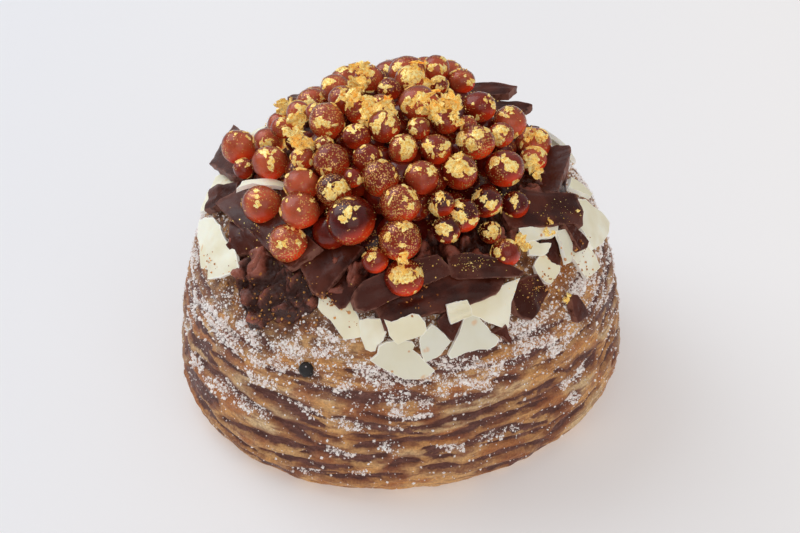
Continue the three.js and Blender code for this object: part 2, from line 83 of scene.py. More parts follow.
# Shards that lie along the shoulder: name, (degrees round, how far out, height over the dough),
# degrees from straight downhill, (length, width at the tail, at the nose), skew of both ends, tip.
SHOULDER_SHARDS = [
    ("white_roll", (-74, 37.5, 4.6), 8, (3, 4, 3.4), (0.7, 0.2), 0.4),
    ("white_right_slim", (-34, 35.9, 3.7), -26, (5, 2.2, 1.7), (0, 0), 1),
    ("white_right_bar", (-40, 32.9, 4.1), -36, (2.4, 8.5, 6.5), (-2.5, -2), 0.6),
    ("white_front_c", (-88, 38.7, 3.4), -11, (4.8, 8.4, 5.6), (-1.5, -0.5), 0.8),
    ("white_front_f", (-63, 38, 2.7), -3, (6.6, 13.4, 4.4), (-1, 2.4), 1.1),
    ("white_right", (-15, 37.4, 2.6), 40, (12, 11, 8.4), (8, 8), 1.2),
    ("white_front_a", (-104, 37.9, 1.5), 33, (8, 5.5, 4.4), (2, 2), 0.6),
    ("white_front_b", (-97, 38.6, 2), 0, (5.2, 4.6, 3.6), (0, 0.6), 1),
    ("white_front_d", (-88, 40.8, 1.6), 9, (6, 6.4, 12.4), (1.7, 6), 0.3),
    ("white_front_e", (-70, 39.9, 2), -1, (7, 1.6, 10.6), (0.2, -1), 1.1),
    ("white_front_g", (-80, 39.9, 2.1), -5, (5.6, 5.4, 4), (1, 1.2), 1),
    ("white_right_chip", (-42, 36.8, 1.9), -58, (4.4, 5, 4.5), (-1, 0), 0.5),
    ("white_right_crumb", (-43, 34.3, 3.4), -59, (2.8, 3.2, 3), (-1.5, -1.5), 0.2),
    ("white_right_low", (-26, 38.8, 1.6), 33, (8.4, 2.4, 5), (3, 4), 0.5),
    ("white_right_high", (-8, 33.8, 3.4), 20, (5, 3, 2.2), (0.8, 0.3), 0.6),
    ("white_left", (-152, 36.9, 2.5), -55, (11.4, 8.4, 10.6), (-5, -5), 0.8),
    ("white_left_high", (-175, 34, 2), -40, (11, 6, 9), (-1.5, -3), 0.6),
    ("white_back_a", (153, 30.5, 2.8), 30, (6, 4, 3), (0, 0), 0.6),
    ("white_back_b", (128, 36, 1.5), 18, (9, 7, 5), (1, 2), 1.4),
    ("white_back_c", (102, 37.6, 1.4), -14, (7, 8, 10), (-2, 0), 1),
    ("white_back_d", (80, 37.8, 1.4), 10, (8, 5, 9), (2, 1), 1.2),
    ("white_back_e", (56, 35.8, 1.7), -28, (9, 8, 5), (0, 2), 1.6),
    ("white_back_f", (30, 36.6, 1.5), 24, (8, 6, 9), (-2, 1), 1.2),
    ("dark_right_mid", (-37, 35.1, 2), -19, (4, 3.6, 3.2), (0, 1), 0.8),
    ("dark_right_roll", (-29, 35.6, 4.3), 9, (4, 2.2, 2), (1.4, 0.4), 0.6),
    ("dark_right_low", (-50, 38.3, 2.1), 14, (7.4, 7.6, 8.2), (-1.7, -3), 0.4),
    ("dark_right_sliver", (-37, 41.1, 2), 9, (5, 1.6, 2.4), (1.4, 0.7), 0.1),
    ("dark_front_wedge", (-76, 39, 2), 12, (4.6, 4.2, 1.2), (2, 0.4), 0.2),
    ("dark_front_dot", (-62, 40.3, 2), 36, (3.8, 2.4, 1.4), (2, 0), 0.1),
]

# Shards that lie freely: name, middle, (heading, nose up, roll) in degrees, size, skew, bow.
FREE_SHARDS = [
    ("white_crescent", (-25.8, -16.8, 53), (-4, 0, -8), (9.2, 2, 2.4), (0, 0), 1.2),
    ("dark_left_long", (-24.6, -22.8, 48.8), (-55, -2, 36), (25, 8, 6.6), (2, 1.5), 0.8),
    ("dark_front_left", (-11.8, -32.8, 47.4), (-100, -29, 8), (10.4, 14.5, 3.6), (-5, -5), 0.5),
    ("dark_front_a", (0.8, -36.9, 45.7), (21, 10, 44), (18.4, 5.4, 4.4), (0, 1.4), 0.8),
    ("dark_front_b", (16, -33.6, 46.7), (1, -5, 44), (13, 4.6, 3.4), (-0.5, -1), 0.5),
    ("dark_front_under", (7.2, -36.7, 42.8), (15, 5, 40), (25, 7.8, 5.6), (-3, 4), 0.8),
    ("dark_front_behind", (-9.6, -36, 44.2), (-88, -37, 9), (6, 9.4, 2.6), (-4.6, -3.2), 0.3),
    ("dark_right", (26.2, -17, 48.3), (21, -15, 20), (19, 9.6, 7.4), (3.6, 0), 1),
    ("dark_right_back", (26.8, -5.4, 49.6), (2, 0, 16), (10.4, 11, 10.6), (2, 2.4), -1),
    ("dark_left_back", (-31.6, 1, 48.8), (120, -15, -24), (15.6, 9, 9.6), (-5.4, -6.4), 0.6),
    ("dark_left_low", (-34, -9, 45.7), (-36, 31, 33), (9.2, 5.6, 4), (-1.4, -1.4), 0.4),
    ("dark_left_chunk", (-28.6, -23, 45.8), (-81, -24, 41), (7.4, 7, 8.6), (3.4, 4), 0.8),
    ("dark_back", (15.4, 17.2, 53.2), (-13, 11, 4), (15, 5.4, 3.6), (0, 1.5), 0.6),
    ("dark_back_tip", (22, 20.6, 47.8), (-8, 2, 10), (8.6, 4.6, 1.8), (-1, 1.5), 0.2),
    ("dark_back_left", (-14, 18.5, 49.8), (132, -6, 4), (15, 9.6, 8), (0, 2), 0.9),
]

# Pearls that show: x, y and diameter, each at the mound's height. Other lists name them by their order.
MARKED_PEARLS = [
    (-24.5, -12.5, 6.6), (-22.5, -2.5, 4.6), (-12.5, 6.5, 6), (-19.5, 0, 4.6), (-16, -4.5, 3.8),
    (-13.5, -9.5, 7.1), (-11, -3, 5.7), (-6, 5, 5.8), (-2, -1.5, 4.6), (1.5, 9, 7.4),
    (7, 11.5, 5.4), (12, 10, 5.4), (7.5, 2, 3.8), (-8, -8, 5.1), (-3.5, -8.5, 5.6),
    (-3, -14, 6.3), (-8, -16, 5.2), (3.5, -6.5, 7.4), (9, -5, 4.2), (8.5, -10.5, 5.2),
    (15, -2.5, 6.5), (3.5, -14, 4.5), (12.5, -10, 4), (21, -1.5, 6.6), (19, -8, 5.1),
    (26, 0.5, 7), (14, -13.5, 6.9), (6.5, -18.5, 5.9), (0.5, -19.5, 5.7), (-6, -21.5, 5.7),
    (-14, -16.5, 3.8), (-18, -17.5, 4.5), (-12.5, -21, 6.8), (-18, -23.5, 6.2), (-8.5, -25.5, 3.8),
    (-12, -27, 6.7), (-3.5, -26, 7.3), (4, -25, 6.6), (11, -21.5, 7), (19.5, -15.5, 7.3),
    (25.5, -5.5, 5.4), (-25.5, -21, 7.5), (-18.2, -28, 7), (-20.5, -31, 7.7), (-9, -32.5, 9.4),
    (0, -30.5, 7.8), (0, -35, 7.7), (-4.5, -37.5, 4.8), (0.7, -38, 7), (7.5, -28.5, 4.9),
    (11.5, -28.5, 6.2), (16, -24, 6.1), (21.5, -19.5, 5.8), (8.4, -31.7, 5.3),
]
# Pearls that have rolled off the heap: x, y, z and diameter.
STRAY_PEARLS = [
    (-31, -4.9, 54.7, 7.2), (-29.8, -10.4, 53.2, 4), (16.5, -26.8, 49.8, 4.4), (19.4, -31.2, 48.2, 5.6),
]
DARK_PEARLS = (44, 49, 50, 51, 53, 52, 68, 35)  # those drawn darkest
PALE_PEARLS = (0, 1, 2, 3, 7, 9, 10, 11, 25, 40, 23, 17, 66, 41, 42, 43)  # those drawn palest
# How much deeper some pearls at the back have settled, and those left out, as in the CAD source.
SETTLED = {2: 0.8, 9: 1.0, 11: 1.2, 56: 1.3, 59: 2.2, 64: 1.0, 66: 1.8, 67: 2.2, 68: 1.5}
LEFT_OUT = (55, 57, 58, 65)
HOLLOW = 0.12  # how far the second layer is drawn in at the back right, as the core is in the CAD source

# Streaks of chocolate dough as the photograph shows them: the greatest width, then the positions passed,
# all in pixels.
CHOCOLATE_STREAKS = [
    (9, (190, 343), (200, 345), (209, 348)), (8, (193, 352), (200, 362), (208, 370), (216, 377)),
    (7, (205, 320), (211, 328), (219, 339), (228, 350), (241, 362)),
    (5, (256, 333), (264, 343), (271, 350)), (3.5, (208, 352), (220, 359), (232, 368), (250, 379)),
    (6, (213, 372), (224, 383), (236, 395), (250, 405), (268, 414)),
    (9, (246, 386), (262, 392), (276, 398), (292, 406), (308, 411), (324, 419)),
    (7, (283, 407), (296, 414), (310, 421), (323, 427)),
    (15, (186, 368), (194, 381), (204, 394), (214, 402)),
    (5, (268, 417), (284, 423), (300, 428), (318, 434), (338, 440)),
    (7, (274, 419), (288, 427), (300, 436), (311, 443)),
    (6, (222, 421), (240, 428), (258, 434), (276, 441), (292, 446), (318, 450)),
    (4, (196, 395), (206, 410), (220, 427), (236, 441), (262, 455)),
    (6, (258, 450), (275, 456), (292, 461), (310, 465), (332, 469), (352, 470)),
    (5, (246, 453), (262, 463), (276, 469), (294, 476)),
    (9, (318, 446), (334, 455), (350, 459), (366, 460), (384, 456)),
    (7, (332, 418), (348, 420), (362, 425), (380, 429), (400, 432), (420, 434)),
    (6, (290, 380), (306, 386), (322, 390), (338, 393)),
    (11, (326, 392), (345, 396), (365, 399), (388, 399), (404, 403)),
    (8, (344, 371), (362, 374), (382, 376), (402, 381), (430, 384)),
    (10, (392, 392), (408, 397), (424, 401), (438, 404)),
    (6, (354, 446), (372, 445), (390, 445), (410, 441)), (6, (388, 468), (402, 463), (418, 461)),
    (4, (322, 477), (345, 479), (372, 478), (402, 476)), (4, (292, 470), (312, 473), (338, 476)),
    (5.5, (396, 425), (416, 431), (434, 427), (452, 420), (476, 415), (500, 405), (520, 398), (542, 387)),
    (5.5, (396, 443), (418, 441), (440, 440), (462, 433), (480, 427), (500, 417), (522, 410), (550, 398)),
    (7, (436, 407), (456, 402), (474, 398), (494, 391)), (4, (494, 381), (506, 378), (520, 377)),
    (13, (420, 364), (438, 364), (456, 361), (474, 357), (498, 350)),
    (8, (424, 374), (444, 371), (466, 368), (492, 366)),
    (6, (500, 366), (514, 363), (524, 358), (538, 351), (564, 340)),
    (6, (540, 393), (548, 386), (558, 378)), (5, (556, 371), (568, 371), (580, 361), (598, 348)),
    (10, (583, 322), (591, 311), (598, 299), (603, 284)),
    (7, (478, 438), (496, 433), (512, 429), (528, 429), (548, 422)),
    (5, (452, 450), (470, 445), (488, 440), (506, 436)), (7, (424, 449), (438, 452), (454, 449)),
    (5, (462, 467), (482, 461), (504, 454), (528, 446), (550, 441)),
    (5.5, (542, 442), (554, 433), (566, 421), (580, 410), (598, 388)),
    (8, (572, 382), (584, 370), (594, 357), (600, 344)),
    (5, (534, 419), (548, 413), (562, 408), (578, 393)),
    (5, (600, 362), (607, 348), (613, 330), (616, 312)),
    (6, (500, 343), (520, 338), (545, 330), (566, 320)), (5, (566, 300), (575, 285), (588, 262)),
    (5, (604, 300), (607, 285), (606, 262)), (6, (258, 365), (275, 372), (296, 376), (318, 379)),
    (6, (186, 300), (196, 305), (206, 312)), (5, (196, 322), (204, 332), (214, 345)),
    (4, (362, 412), (380, 418), (398, 421), (420, 420), (440, 416)),
    (4, (206, 440), (220, 450), (236, 460)), (5, (512, 462), (532, 455), (550, 446), (566, 434)),
    (5, (425, 470), (445, 468), (462, 467)), (4, (424, 457), (440, 459), (456, 456)),
    (5, (300, 455), (312, 450), (326, 452)),
    (3.5, (484, 446), (504, 441), (526, 436), (548, 428), (566, 414)),
    (3.5, (480, 472), (502, 467), (526, 459)),
    (3, (516, 405), (540, 398), (566, 381)), (3, (468, 425), (490, 420), (512, 414), (534, 406)),
    (3.5, (588, 332), (596, 318), (602, 300)), (3, (556, 352), (572, 342), (590, 326)),
    (3, (526, 372), (546, 363), (566, 352)), (3, (350, 436), (374, 438), (398, 438)),
]
# Drifts of sugar, patches toasted orange, and pale bands, marked in the same way.
SUGAR_DRIFTS = [
    (26, (198, 300), (212, 318), (226, 336), (244, 352)), (16, (232, 312), (246, 330), (262, 346)),
    (15, (244, 352), (262, 362), (282, 368), (300, 372)),
    (13, (276, 345), (296, 352), (318, 350), (338, 346)), (12, (206, 378), (220, 386), (234, 398)),
    (9, (232, 398), (250, 408), (272, 417)), (7, (288, 404), (304, 410), (320, 414)),
    (9, (326, 419), (344, 424), (366, 430)), (13, (384, 402), (402, 404), (424, 406), (446, 402)),
    (10, (392, 414), (410, 416), (430, 414)), (15, (318, 328), (330, 336), (344, 350)),
    (14, (348, 364), (372, 372), (396, 382), (424, 386)), (11, (424, 376), (444, 380), (464, 384)),
    (10, (456, 378), (474, 382), (492, 388)), (10, (430, 392), (446, 394), (462, 396)),
    (22, (512, 330), (530, 324), (552, 312)), (18, (508, 350), (526, 344), (550, 340)),
    (12, (548, 356), (560, 348), (572, 336)), (12, (572, 378), (582, 372), (592, 364)),
    (8, (556, 388), (566, 382), (576, 376)), (16, (568, 300), (580, 290), (590, 276)),
    (14, (600, 312), (606, 290), (604, 262)), (18, (186, 330), (190, 312), (196, 292)),
    (9, (322, 450), (338, 454), (354, 456)), (9, (436, 448), (450, 448), (464, 446)),
    (5, (384, 430), (394, 431), (404, 431)), (7, (296, 472), (304, 473), (314, 472)),
    (6, (356, 473), (364, 474), (372, 474)), (12, (476, 372), (492, 370), (508, 362)),
    (12, (246, 372), (262, 380), (280, 384)), (9, (332, 390), (344, 384), (356, 376)),
    (7, (330, 400), (350, 404), (370, 408)), (10, (560, 406), (570, 396), (580, 392)),
    (6, (510, 432), (520, 430), (530, 429)), (8, (188, 352), (194, 362), (202, 370)),
    (5, (384, 446), (396, 446), (408, 444)), (6, (484, 442), (498, 436), (512, 432)),
    (12, (430, 364), (460, 366), (490, 362)),
]
TOASTED_STREAKS = [
    (20, (206, 384), (226, 400), (246, 414)), (12, (344, 412), (366, 415), (392, 416)),
    (11, (316, 352), (328, 353), (342, 350)), (10, (382, 392), (398, 393), (412, 394)),
    (12, (480, 452), (504, 448), (528, 440)), (9, (500, 462), (512, 458), (526, 454)),
    (16, (540, 400), (556, 404), (566, 396)), (12, (292, 392), (306, 396), (318, 400)),
    (12, (236, 300), (246, 308), (256, 318)), (10, (290, 325), (304, 328), (316, 326)),
    (10, (330, 452), (322, 458), (334, 464)), (9, (226, 356), (238, 362), (252, 372)),
    (9, (570, 350), (582, 345), (592, 338)), (10, (434, 440), (450, 437), (466, 430)),
]
PALE_STREAKS = [
    (12, (262, 408), (280, 412), (300, 420)), (13, (248, 418), (262, 424), (278, 434)),
    (12, (384, 456), (402, 458), (420, 456)), (13, (476, 400), (500, 392), (526, 384)),
    (12, (452, 412), (478, 406), (502, 398)), (10, (420, 428), (446, 424), (470, 420)),
    (10, (236, 378), (250, 384), (270, 390)), (11, (268, 390), (300, 394), (330, 400)),
    (12, (568, 392), (580, 386), (592, 378)), (8, (232, 414), (246, 420), (262, 428)),
    (12, (566, 430), (584, 414), (600, 392)),
]
# Outlines of the shards that show whole or nearly so, once round, in pixels of the photograph.
SHARD_EDGES = {
    "white_front_a": [(313, 304), (319, 297), (328, 297), (336, 305), (345, 306), (351, 300), (355, 310),
        (359, 320), (361, 336), (352, 339), (344, 340), (338, 331), (330, 320), (320, 312)],
    "white_front_b": [(359, 320), (368, 318), (380, 319), (385, 325), (386, 333), (383, 341), (377, 345),
        (375, 352), (371, 357), (365, 350), (361, 338)],
    "white_front_c": [(384, 320), (391, 322), (402, 318), (412, 314), (419, 315), (425, 322), (427, 329),
        (423, 335), (415, 338), (405, 341), (398, 345), (393, 340), (389, 336), (388, 330)],
    "white_front_d": [(370, 360), (377, 355), (379, 346), (384, 340), (392, 338), (404, 340), (412, 342),
        (415, 346), (412, 350), (417, 355), (421, 362), (425, 368), (426, 378), (417, 379), (405, 380),
        (398, 376), (388, 371), (377, 366)],
    "white_front_g": [(413, 341), (420, 337), (426, 331), (430, 319), (436, 327), (443, 333), (451, 341),
        (446, 348), (441, 355), (433, 359), (425, 363), (420, 353)],
    "white_front_e": [(440, 360), (447, 352), (453, 343), (458, 331), (463, 319), (470, 314), (477, 314),
        (482, 321), (490, 330), (499, 338), (496, 345), (490, 349), (478, 350), (464, 354), (451, 359)],
    "white_front_f": [(521, 277), (518, 284), (511, 292), (512, 302), (510, 315), (508, 328), (500, 327),
        (490, 323), (480, 318), (470, 315), (464, 309), (462, 300), (472, 297), (484, 293), (496, 288),
        (508, 282)],
    "white_right": [(578, 199), (585, 199), (593, 207), (601, 211), (607, 224), (608, 233), (602, 244),
        (594, 250), (588, 238), (585, 225), (582, 210)],
    "white_right_low": [(569, 230), (578, 228), (586, 228), (590, 240), (593, 251), (602, 267),
        (594, 273), (587, 278), (580, 268), (572, 256), (568, 250), (575, 244), (571, 236)],
    "white_right_chip": [(542, 253), (546, 256), (551, 262), (560, 266), (560, 271), (556, 278),
        (551, 284), (545, 282), (538, 275), (533, 266), (536, 260)],
    "dark_front_a": [(351, 300), (356, 289), (364, 281), (376, 276), (392, 268), (408, 260), (425, 255),
        (438, 254), (441, 257), (449, 266), (451, 274), (440, 278), (424, 285), (408, 292), (392, 300),
        (376, 308), (364, 312), (355, 309)],
    "dark_front_b": [(443, 257), (456, 255), (470, 253), (486, 256), (500, 262), (512, 268), (524, 272),
        (520, 276), (504, 277), (488, 277), (470, 278), (456, 280), (452, 276), (449, 266)],
    "dark_front_left": [(296, 268), (302, 250), (318, 240), (340, 240), (366, 246), (358, 255),
        (350, 263), (341, 273), (334, 282), (327, 291), (319, 297), (310, 291), (302, 281)],
    "dark_right": [(508, 228), (507, 212), (512, 198), (530, 194), (546, 192), (560, 193), (573, 195),
        (580, 202), (583, 212), (586, 228), (570, 228), (550, 229), (530, 229)],
    "dark_right_back": [(520, 189), (524, 172), (534, 160), (545, 149), (556, 145), (569, 145),
        (571, 151), (568, 163), (563, 176), (558, 191), (545, 192), (532, 192)],
    "dark_right_mid": [(535, 243), (545, 238), (556, 235), (558, 245), (560, 258), (559, 264),
        (552, 263), (545, 258), (538, 252)],
    "dark_right_low": [(513, 287), (520, 280), (528, 276), (538, 275), (545, 284), (547, 292),
        (545, 303), (540, 310), (533, 313), (520, 320), (510, 330), (509, 320), (511, 300)],
    "dark_left_chunk": [(231, 222), (240, 222), (250, 232), (262, 245), (268, 254), (258, 256),
        (245, 254), (235, 257), (230, 250), (226, 245), (229, 241), (230, 232)],
    "dark_front_behind": [(326, 292), (334, 282), (345, 270), (356, 262), (362, 270), (358, 282),
        (354, 292), (350, 300), (345, 307), (339, 308), (333, 302)],
    "white_left": [(197, 214), (206, 211), (215, 213), (219, 226), (225, 240), (234, 249), (241, 257),
        (239, 268), (235, 277), (222, 280), (207, 279), (211, 268), (206, 257), (200, 247), (195, 234),
        (193, 222)],
    "dark_front_wedge": [(428, 314), (446, 311), (450, 318), (455, 322), (463, 320), (458, 331),
        (453, 341), (446, 336), (438, 328)],
}

# Gold leaf that lies on pearls: the position, width and height of each patch in the photograph, in pixels.
LEAF_PATCHES = [
    (320, 121, 12, 9), (327, 124, 7, 6), (329, 133, 5, 4), (327, 82, 10, 10), (359, 126, 9, 8),
    (376, 125, 12, 12), (391, 121, 9, 8), (406, 147, 20, 28), (329, 193, 11, 11), (343, 186, 18, 16),
    (343, 218, 7, 6), (334, 205, 4, 3), (345, 211, 4, 4), (387, 193, 6, 4), (405, 199, 6, 5),
    (414, 194, 12, 12), (411, 206, 8, 5), (405, 225, 13, 14), (388, 236, 7, 8), (294, 160, 5, 9),
    (282, 244, 9, 9), (303, 232, 6, 8), (299, 242, 5, 7), (294, 227, 5, 2), (318, 146, 6, 5),
    (381, 152, 5, 6), (369, 162, 5, 4), (412, 72, 27, 28), (432, 66, 6, 8), (443, 68, 8, 9),
    (471, 82, 11, 7), (423, 96, 20, 9), (407, 100, 7, 7), (426, 110, 14, 9), (404, 108, 8, 9),
    (436, 118, 13, 9), (493, 105, 5, 7), (509, 108, 8, 7), (460, 137, 14, 14), (478, 132, 18, 6),
    (471, 146, 12, 12), (500, 129, 20, 10), (497, 140, 12, 14), (516, 136, 4, 10), (538, 145, 26, 20),
    (532, 162, 15, 22), (413, 131, 8, 7), (429, 146, 13, 10), (446, 146, 12, 8), (441, 155, 4, 4),
    (459, 166, 25, 18), (512, 166, 9, 12), (506, 160, 6, 5), (433, 170, 12, 8), (418, 168, 7, 5),
    (434, 212, 9, 22), (459, 204, 17, 7), (458, 217, 17, 14), (474, 221, 9, 7), (475, 194, 8, 12),
    (483, 198, 6, 6), (491, 205, 10, 9), (500, 211, 12, 8), (508, 216, 8, 5), (515, 199, 6, 12),
    (443, 228, 18, 10), (493, 231, 15, 12), (402, 272, 26, 24), (490, 252, 5, 6), (264, 151, 13, 10),
    (270, 160, 4, 4), (257, 190, 5, 5), (300, 110, 9, 12), (309, 100, 8, 8), (352, 82, 8, 12),
    (371, 72, 7, 9), (390, 112, 10, 8), (398, 66, 9, 8), (455, 113, 10, 8), (541, 133, 8, 9),
]
# Pearls dusted with gold all over, by a position on each in the photograph, in pixels.
DUSTED_PEARLS = [
    (333, 160), (405, 205), (285, 240), (338, 188), (381, 178), (474, 142), (345, 122), (404, 250),
    (385, 152),
]
# Crumpled clumps of gold leaf: position and width in the photograph, in pixels, and number of flakes.
LEAF_CLUMPS = [
    (285, 110, 15, 8), (293, 125, 15, 8), (284, 146, 16, 8), (300, 143, 18, 9), (361, 72, 15, 9),
    (362, 88, 15, 8), (351, 100, 15, 7), (372, 109, 17, 9), (390, 107, 14, 6), (412, 66, 14, 6),
    (427, 82, 17, 9), (419, 103, 13, 6), (445, 106, 18, 9), (455, 119, 12, 6), (538, 139, 15, 7),
    (534, 168, 13, 5), (463, 166, 15, 5), (548, 228, 11, 5), (522, 243, 12, 5), (578, 213, 5, 3),
    (558, 295, 10, 3), (403, 264, 12, 4),
]
LEAF_SPREAD = 1.35  # how far a clump's flakes reach past its mark
# Gold mist on shards and cream: position, width and height in the photograph, in pixels, and number.
GOLD_MIST = [
    (471, 263, 26, 14, 90), (530, 288, 34, 40, 70), (560, 212, 40, 24, 40), (285, 262, 50, 40, 34),
    (420, 262, 60, 20, 40), (250, 225, 30, 24, 30),
]
# Toasted crumbs: position, width and height in the photograph, in pixels, and number.
CRUMBS = [
    (262, 300, 50, 40, 44), (300, 290, 40, 30, 24), (232, 285, 20, 24, 24), (328, 300, 16, 10, 20),
    (548, 285, 30, 26, 44), (585, 258, 24, 40, 30), (250, 318, 34, 18, 30), (420, 300, 40, 20, 16),
    (350, 318, 16, 14, 10), (212, 262, 14, 20, 16), (300, 322, 40, 24, 30),
]

# The camera, fitted to the photograph: its place, its downward tilt in degrees, the lens and the sensor, and
# the picture's size in pixels. Then the tilt in radians, and how wide a pixel is at a distance of 1.
CAMERA_PLACE, CAMERA_TILT, LENS, SENSOR = np.array([0, -329.15, 257.78]), 35.5, 89.64, 36
PICTURE_WIDE, PICTURE_HIGH = 800, 533
TILT, PIXEL = math.radians(CAMERA_TILT), SENSOR / LENS / PICTURE_WIDE

ROLL = 44  # the radius of the plain cylinder on which noise and strokes are read
OVAL, OVAL_PHASE, TRIPLE, TRIPLE_PHASE = 0.023, -2.02, 0.014, 0.69  # the two waves of the drum's plan
TONGUE_AT, TONGUE_WIDE, TONGUE_LONG = -124, 24, 7.5  # the cream's tongue: both angles in degrees
FARTHEST = 5.0  # the greatest distance that is told beside a stroke
INSIDE_BOX = 0.02  # how far pieces stay inside the CAD box
RIM_CHIPS = 0.12  # how rough a shard's broken rim is
CRISP = 5  # the crease in degrees that keeps every edge of a grain sharp
UNDER_PEARLS, UNDER_INSET, UNDER_DEEPER = 64, 4.5, 3.6  # the second layer: how many, how far in and down
GOLDEN_TURN = 2.39996  # the angle between neighbours on a spiral that leaves no rows
CORE_LONG, CORE_WIDE, CORE_RISE = 27, 21.5, 13
NOWHERE = 1e6  # farther than anything that is seen
SEEN_PIECES = ("layered_dough", "cream_bed", "dark_shards", "white_shards", "pearl_heap")
DARK_SEED, WHITE_SEED, PATCH_SEED, SCRAP_SEED, FLAKE_SEED = 200, 300, 500, 900, 1700


def tone(red, green, blue):
    """The linear colour of a picture's red, green and blue from 0 to 255."""
    share = np.array([red, green, blue]) / 255
    return tuple(float(v) for v in np.where(share > 0.04045, ((share + 0.055) / 1.055) ** 2.4, share / 12.92))


def colour(name, description, *picture):
    """A colour setting for the panel."""
    kept = {"subtype": "COLOR", "size": 3, "min": 0, "max": 1, "default": tone(*picture)}
    return FloatVectorProperty(name=name, description=description, **kept)


def length(name, description, millimetres):
    """A length setting for the panel, kept in metres."""
    kept = {"unit": "LENGTH", "precision": 5, "min": 0, "default": millimetres / 1000}
    return FloatProperty(name=name, description=description, **kept)


def number(name, description, default, most):
    """A whole number for the panel."""
    return IntProperty(name=name, description=description, min=0, max=most, default=default)


def strength(name, description, default, most):
    """A plain value for the panel."""
    return FloatProperty(name=name, description=description, min=0, max=most, default=default)


class DoughSettings(bpy.types.PropertyGroup):
    """Sizes and colours of the baked dough."""

    relief: length("Relief", "How far a layer stands out", 0.42)
    streak: length("Streak", "Usual width of a chocolate streak", USUAL_STREAK)
    plain: colour("Plain dough", "Colour of the plain layers", 247, 197, 132)
    toasted: colour("Toasted dough", "Colour of the toasted patches", 196, 116, 54)
    chocolate: colour("Chocolate dough", "Colour of the chocolate streaks", 104, 60, 50)


class SugarSettings(bpy.types.PropertyGroup):
    """Size and number of the sugar crystals."""

    crystal: length("Crystal", "Usual width of a crystal", 0.43)
    count: number("Count", "Number of crystals", 23500, 24000)


class ChocolateSettings(bpy.types.PropertyGroup):
    """Sizes and colours of the cream and the chocolate shards."""

    dark_thick: length("Dark thickness", "Thickness of a dark shard", 1.6)
    white_thick: length("White thickness", "Thickness of a white shard", 0.85)
    dark: colour("Dark chocolate", "Colour of the dark chocolate", 60, 22, 12)
    white: colour("White chocolate", "Colour of the white chocolate", 248, 245, 226)
    cream: colour("Chocolate cream", "Colour of the cream", 160, 90, 72)


class PearlSettings(bpy.types.PropertyGroup):
    """Colours and unevenness of the jelly pearls."""

    jelly: colour("Jelly", "Colour of a pearl's upper side", 146, 42, 18)
    glow: colour("Glow", "Colour of a pearl's lit lower rim", 226, 62, 22)
    lumps: strength("Lumps", "How uneven a pearl is", 0.08, 0.2)


class LeafSettings(bpy.types.PropertyGroup):
    """Colour and number of pieces of the gold leaf."""

    gold: colour("Gold", "Colour of the leaf", 250, 200, 96)
    scraps: number("Scraps", "Number of small scraps on the pearls", 330, 600)
    specks: number("Specks", "Number of loose specks", 3200, 6000)


class StageSettings(bpy.types.PropertyGroup):
    """The floor and the light."""

    floor: colour("Floor", "Colour of the floor", 205, 208, 214)
    key: strength("Key light", "Strength of the window light in watts", 4.6, 100)
    room: strength("Room light", "Strength of the light all round", 0.5, 10)


def fade(value, low, high):
    """The smooth step: 0 up to low, 1 from high, and 3s^2 - 2s^3 at the share s between."""
    s = np.clip((value - low) / (high - low), 0, 1)
    return s * s * (3 - 2 * s)


def bell(value, middle, wide):
    """A bell curve: 1 at the middle, and e to the power of minus the square of the widths away from it."""
    return np.exp(-(((value - middle) / wide) ** 2))


def points_of(x, y, z):
    """Points from their three coordinates, each a number or an array."""
    return np.stack(np.broadcast_arrays(x, y, z), -1)


def all_round(count):
    """Angles in equal steps once round, as one row."""
    return np.arange(count)[None] / count * 2 * math.pi


def corner_values(i, j, k, seed):
    """A value from -1 to 1 for each corner of a cubic lattice: its whole numbers, mixed by multiplication."""
    h = (i * 73856093) ^ (j * 19349663) ^ (k * 83492791) ^ (seed * 2654435761)
    h &= 0xFFFFFFFF
    h = ((h ^ (h >> 15)) * 2246822519) & 0xFFFFFFFF
    h = ((h ^ (h >> 13)) * 3266489917) & 0xFFFFFFFF
    return (h ^ (h >> 16)) / 2147483647.5 - 1


def noise(points, size, seed, smooth=True):
    """Random values from -1 to 1: lattice corner values blended within each cube, by the smooth step or
    straight. Each use has a seed of its own, so that no two are alike."""
    cells = np.asarray(points, float) / size
    low = np.floor(cells)
    part = cells - low
    if smooth:
        part = part * part * (3 - 2 * part)
    low = low.astype(np.int64)
    total = 0
    for corner in range(8):
        a, b, c = corner & 1, (corner >> 1) & 1, corner >> 2
        weight = np.abs(1 - a - part[..., 0]) * np.abs(1 - b - part[..., 1]) * np.abs(1 - c - part[..., 2])
        total = total + weight * corner_values(low[..., 0] + a, low[..., 1] + b, low[..., 2] + c, seed)
    return total


def rumple(points, size, seed, octaves=3):
    """Noise summed over octaves, each half as large and half as strong as the one before."""
    return sum(noise(points, size / 2 ** k, seed + 11 * k) / 2 ** k for k in range(octaves))


def clods(points, size, seed):
    """How deep inside a clod each point lies, from 0 in the gaps to 1: every cube of a lattice holds one
    centre at random, and the value is how much nearer the nearest centre is than the second nearest."""
    cells = np.asarray(points, float) / size
    low = np.floor(cells).astype(np.int64)
    near, second = np.full(low.shape[:-1], 9.0), np.full(low.shape[:-1], 9.0)
    for shift in np.ndindex(3, 3, 3):
        corner = low + np.array(shift) - 1
        strays = [corner_values(*np.moveaxis(corner, -1, 0), seed + k) for k in range(3)]
        middle = [corner[..., k] + 0.5 + 0.5 * strays[k] for k in range(3)]
        far = norm(np.stack(middle, -1) - cells, axis=-1)
        second = np.minimum(second, np.maximum(near, far))
        near = np.minimum(near, far)
    return np.clip(second - near, 0, 1)


def shaker(seed):
    """A generator of random numbers of a piece's own, so that pieces don't disturb each other."""
    return np.random.default_rng(seed)


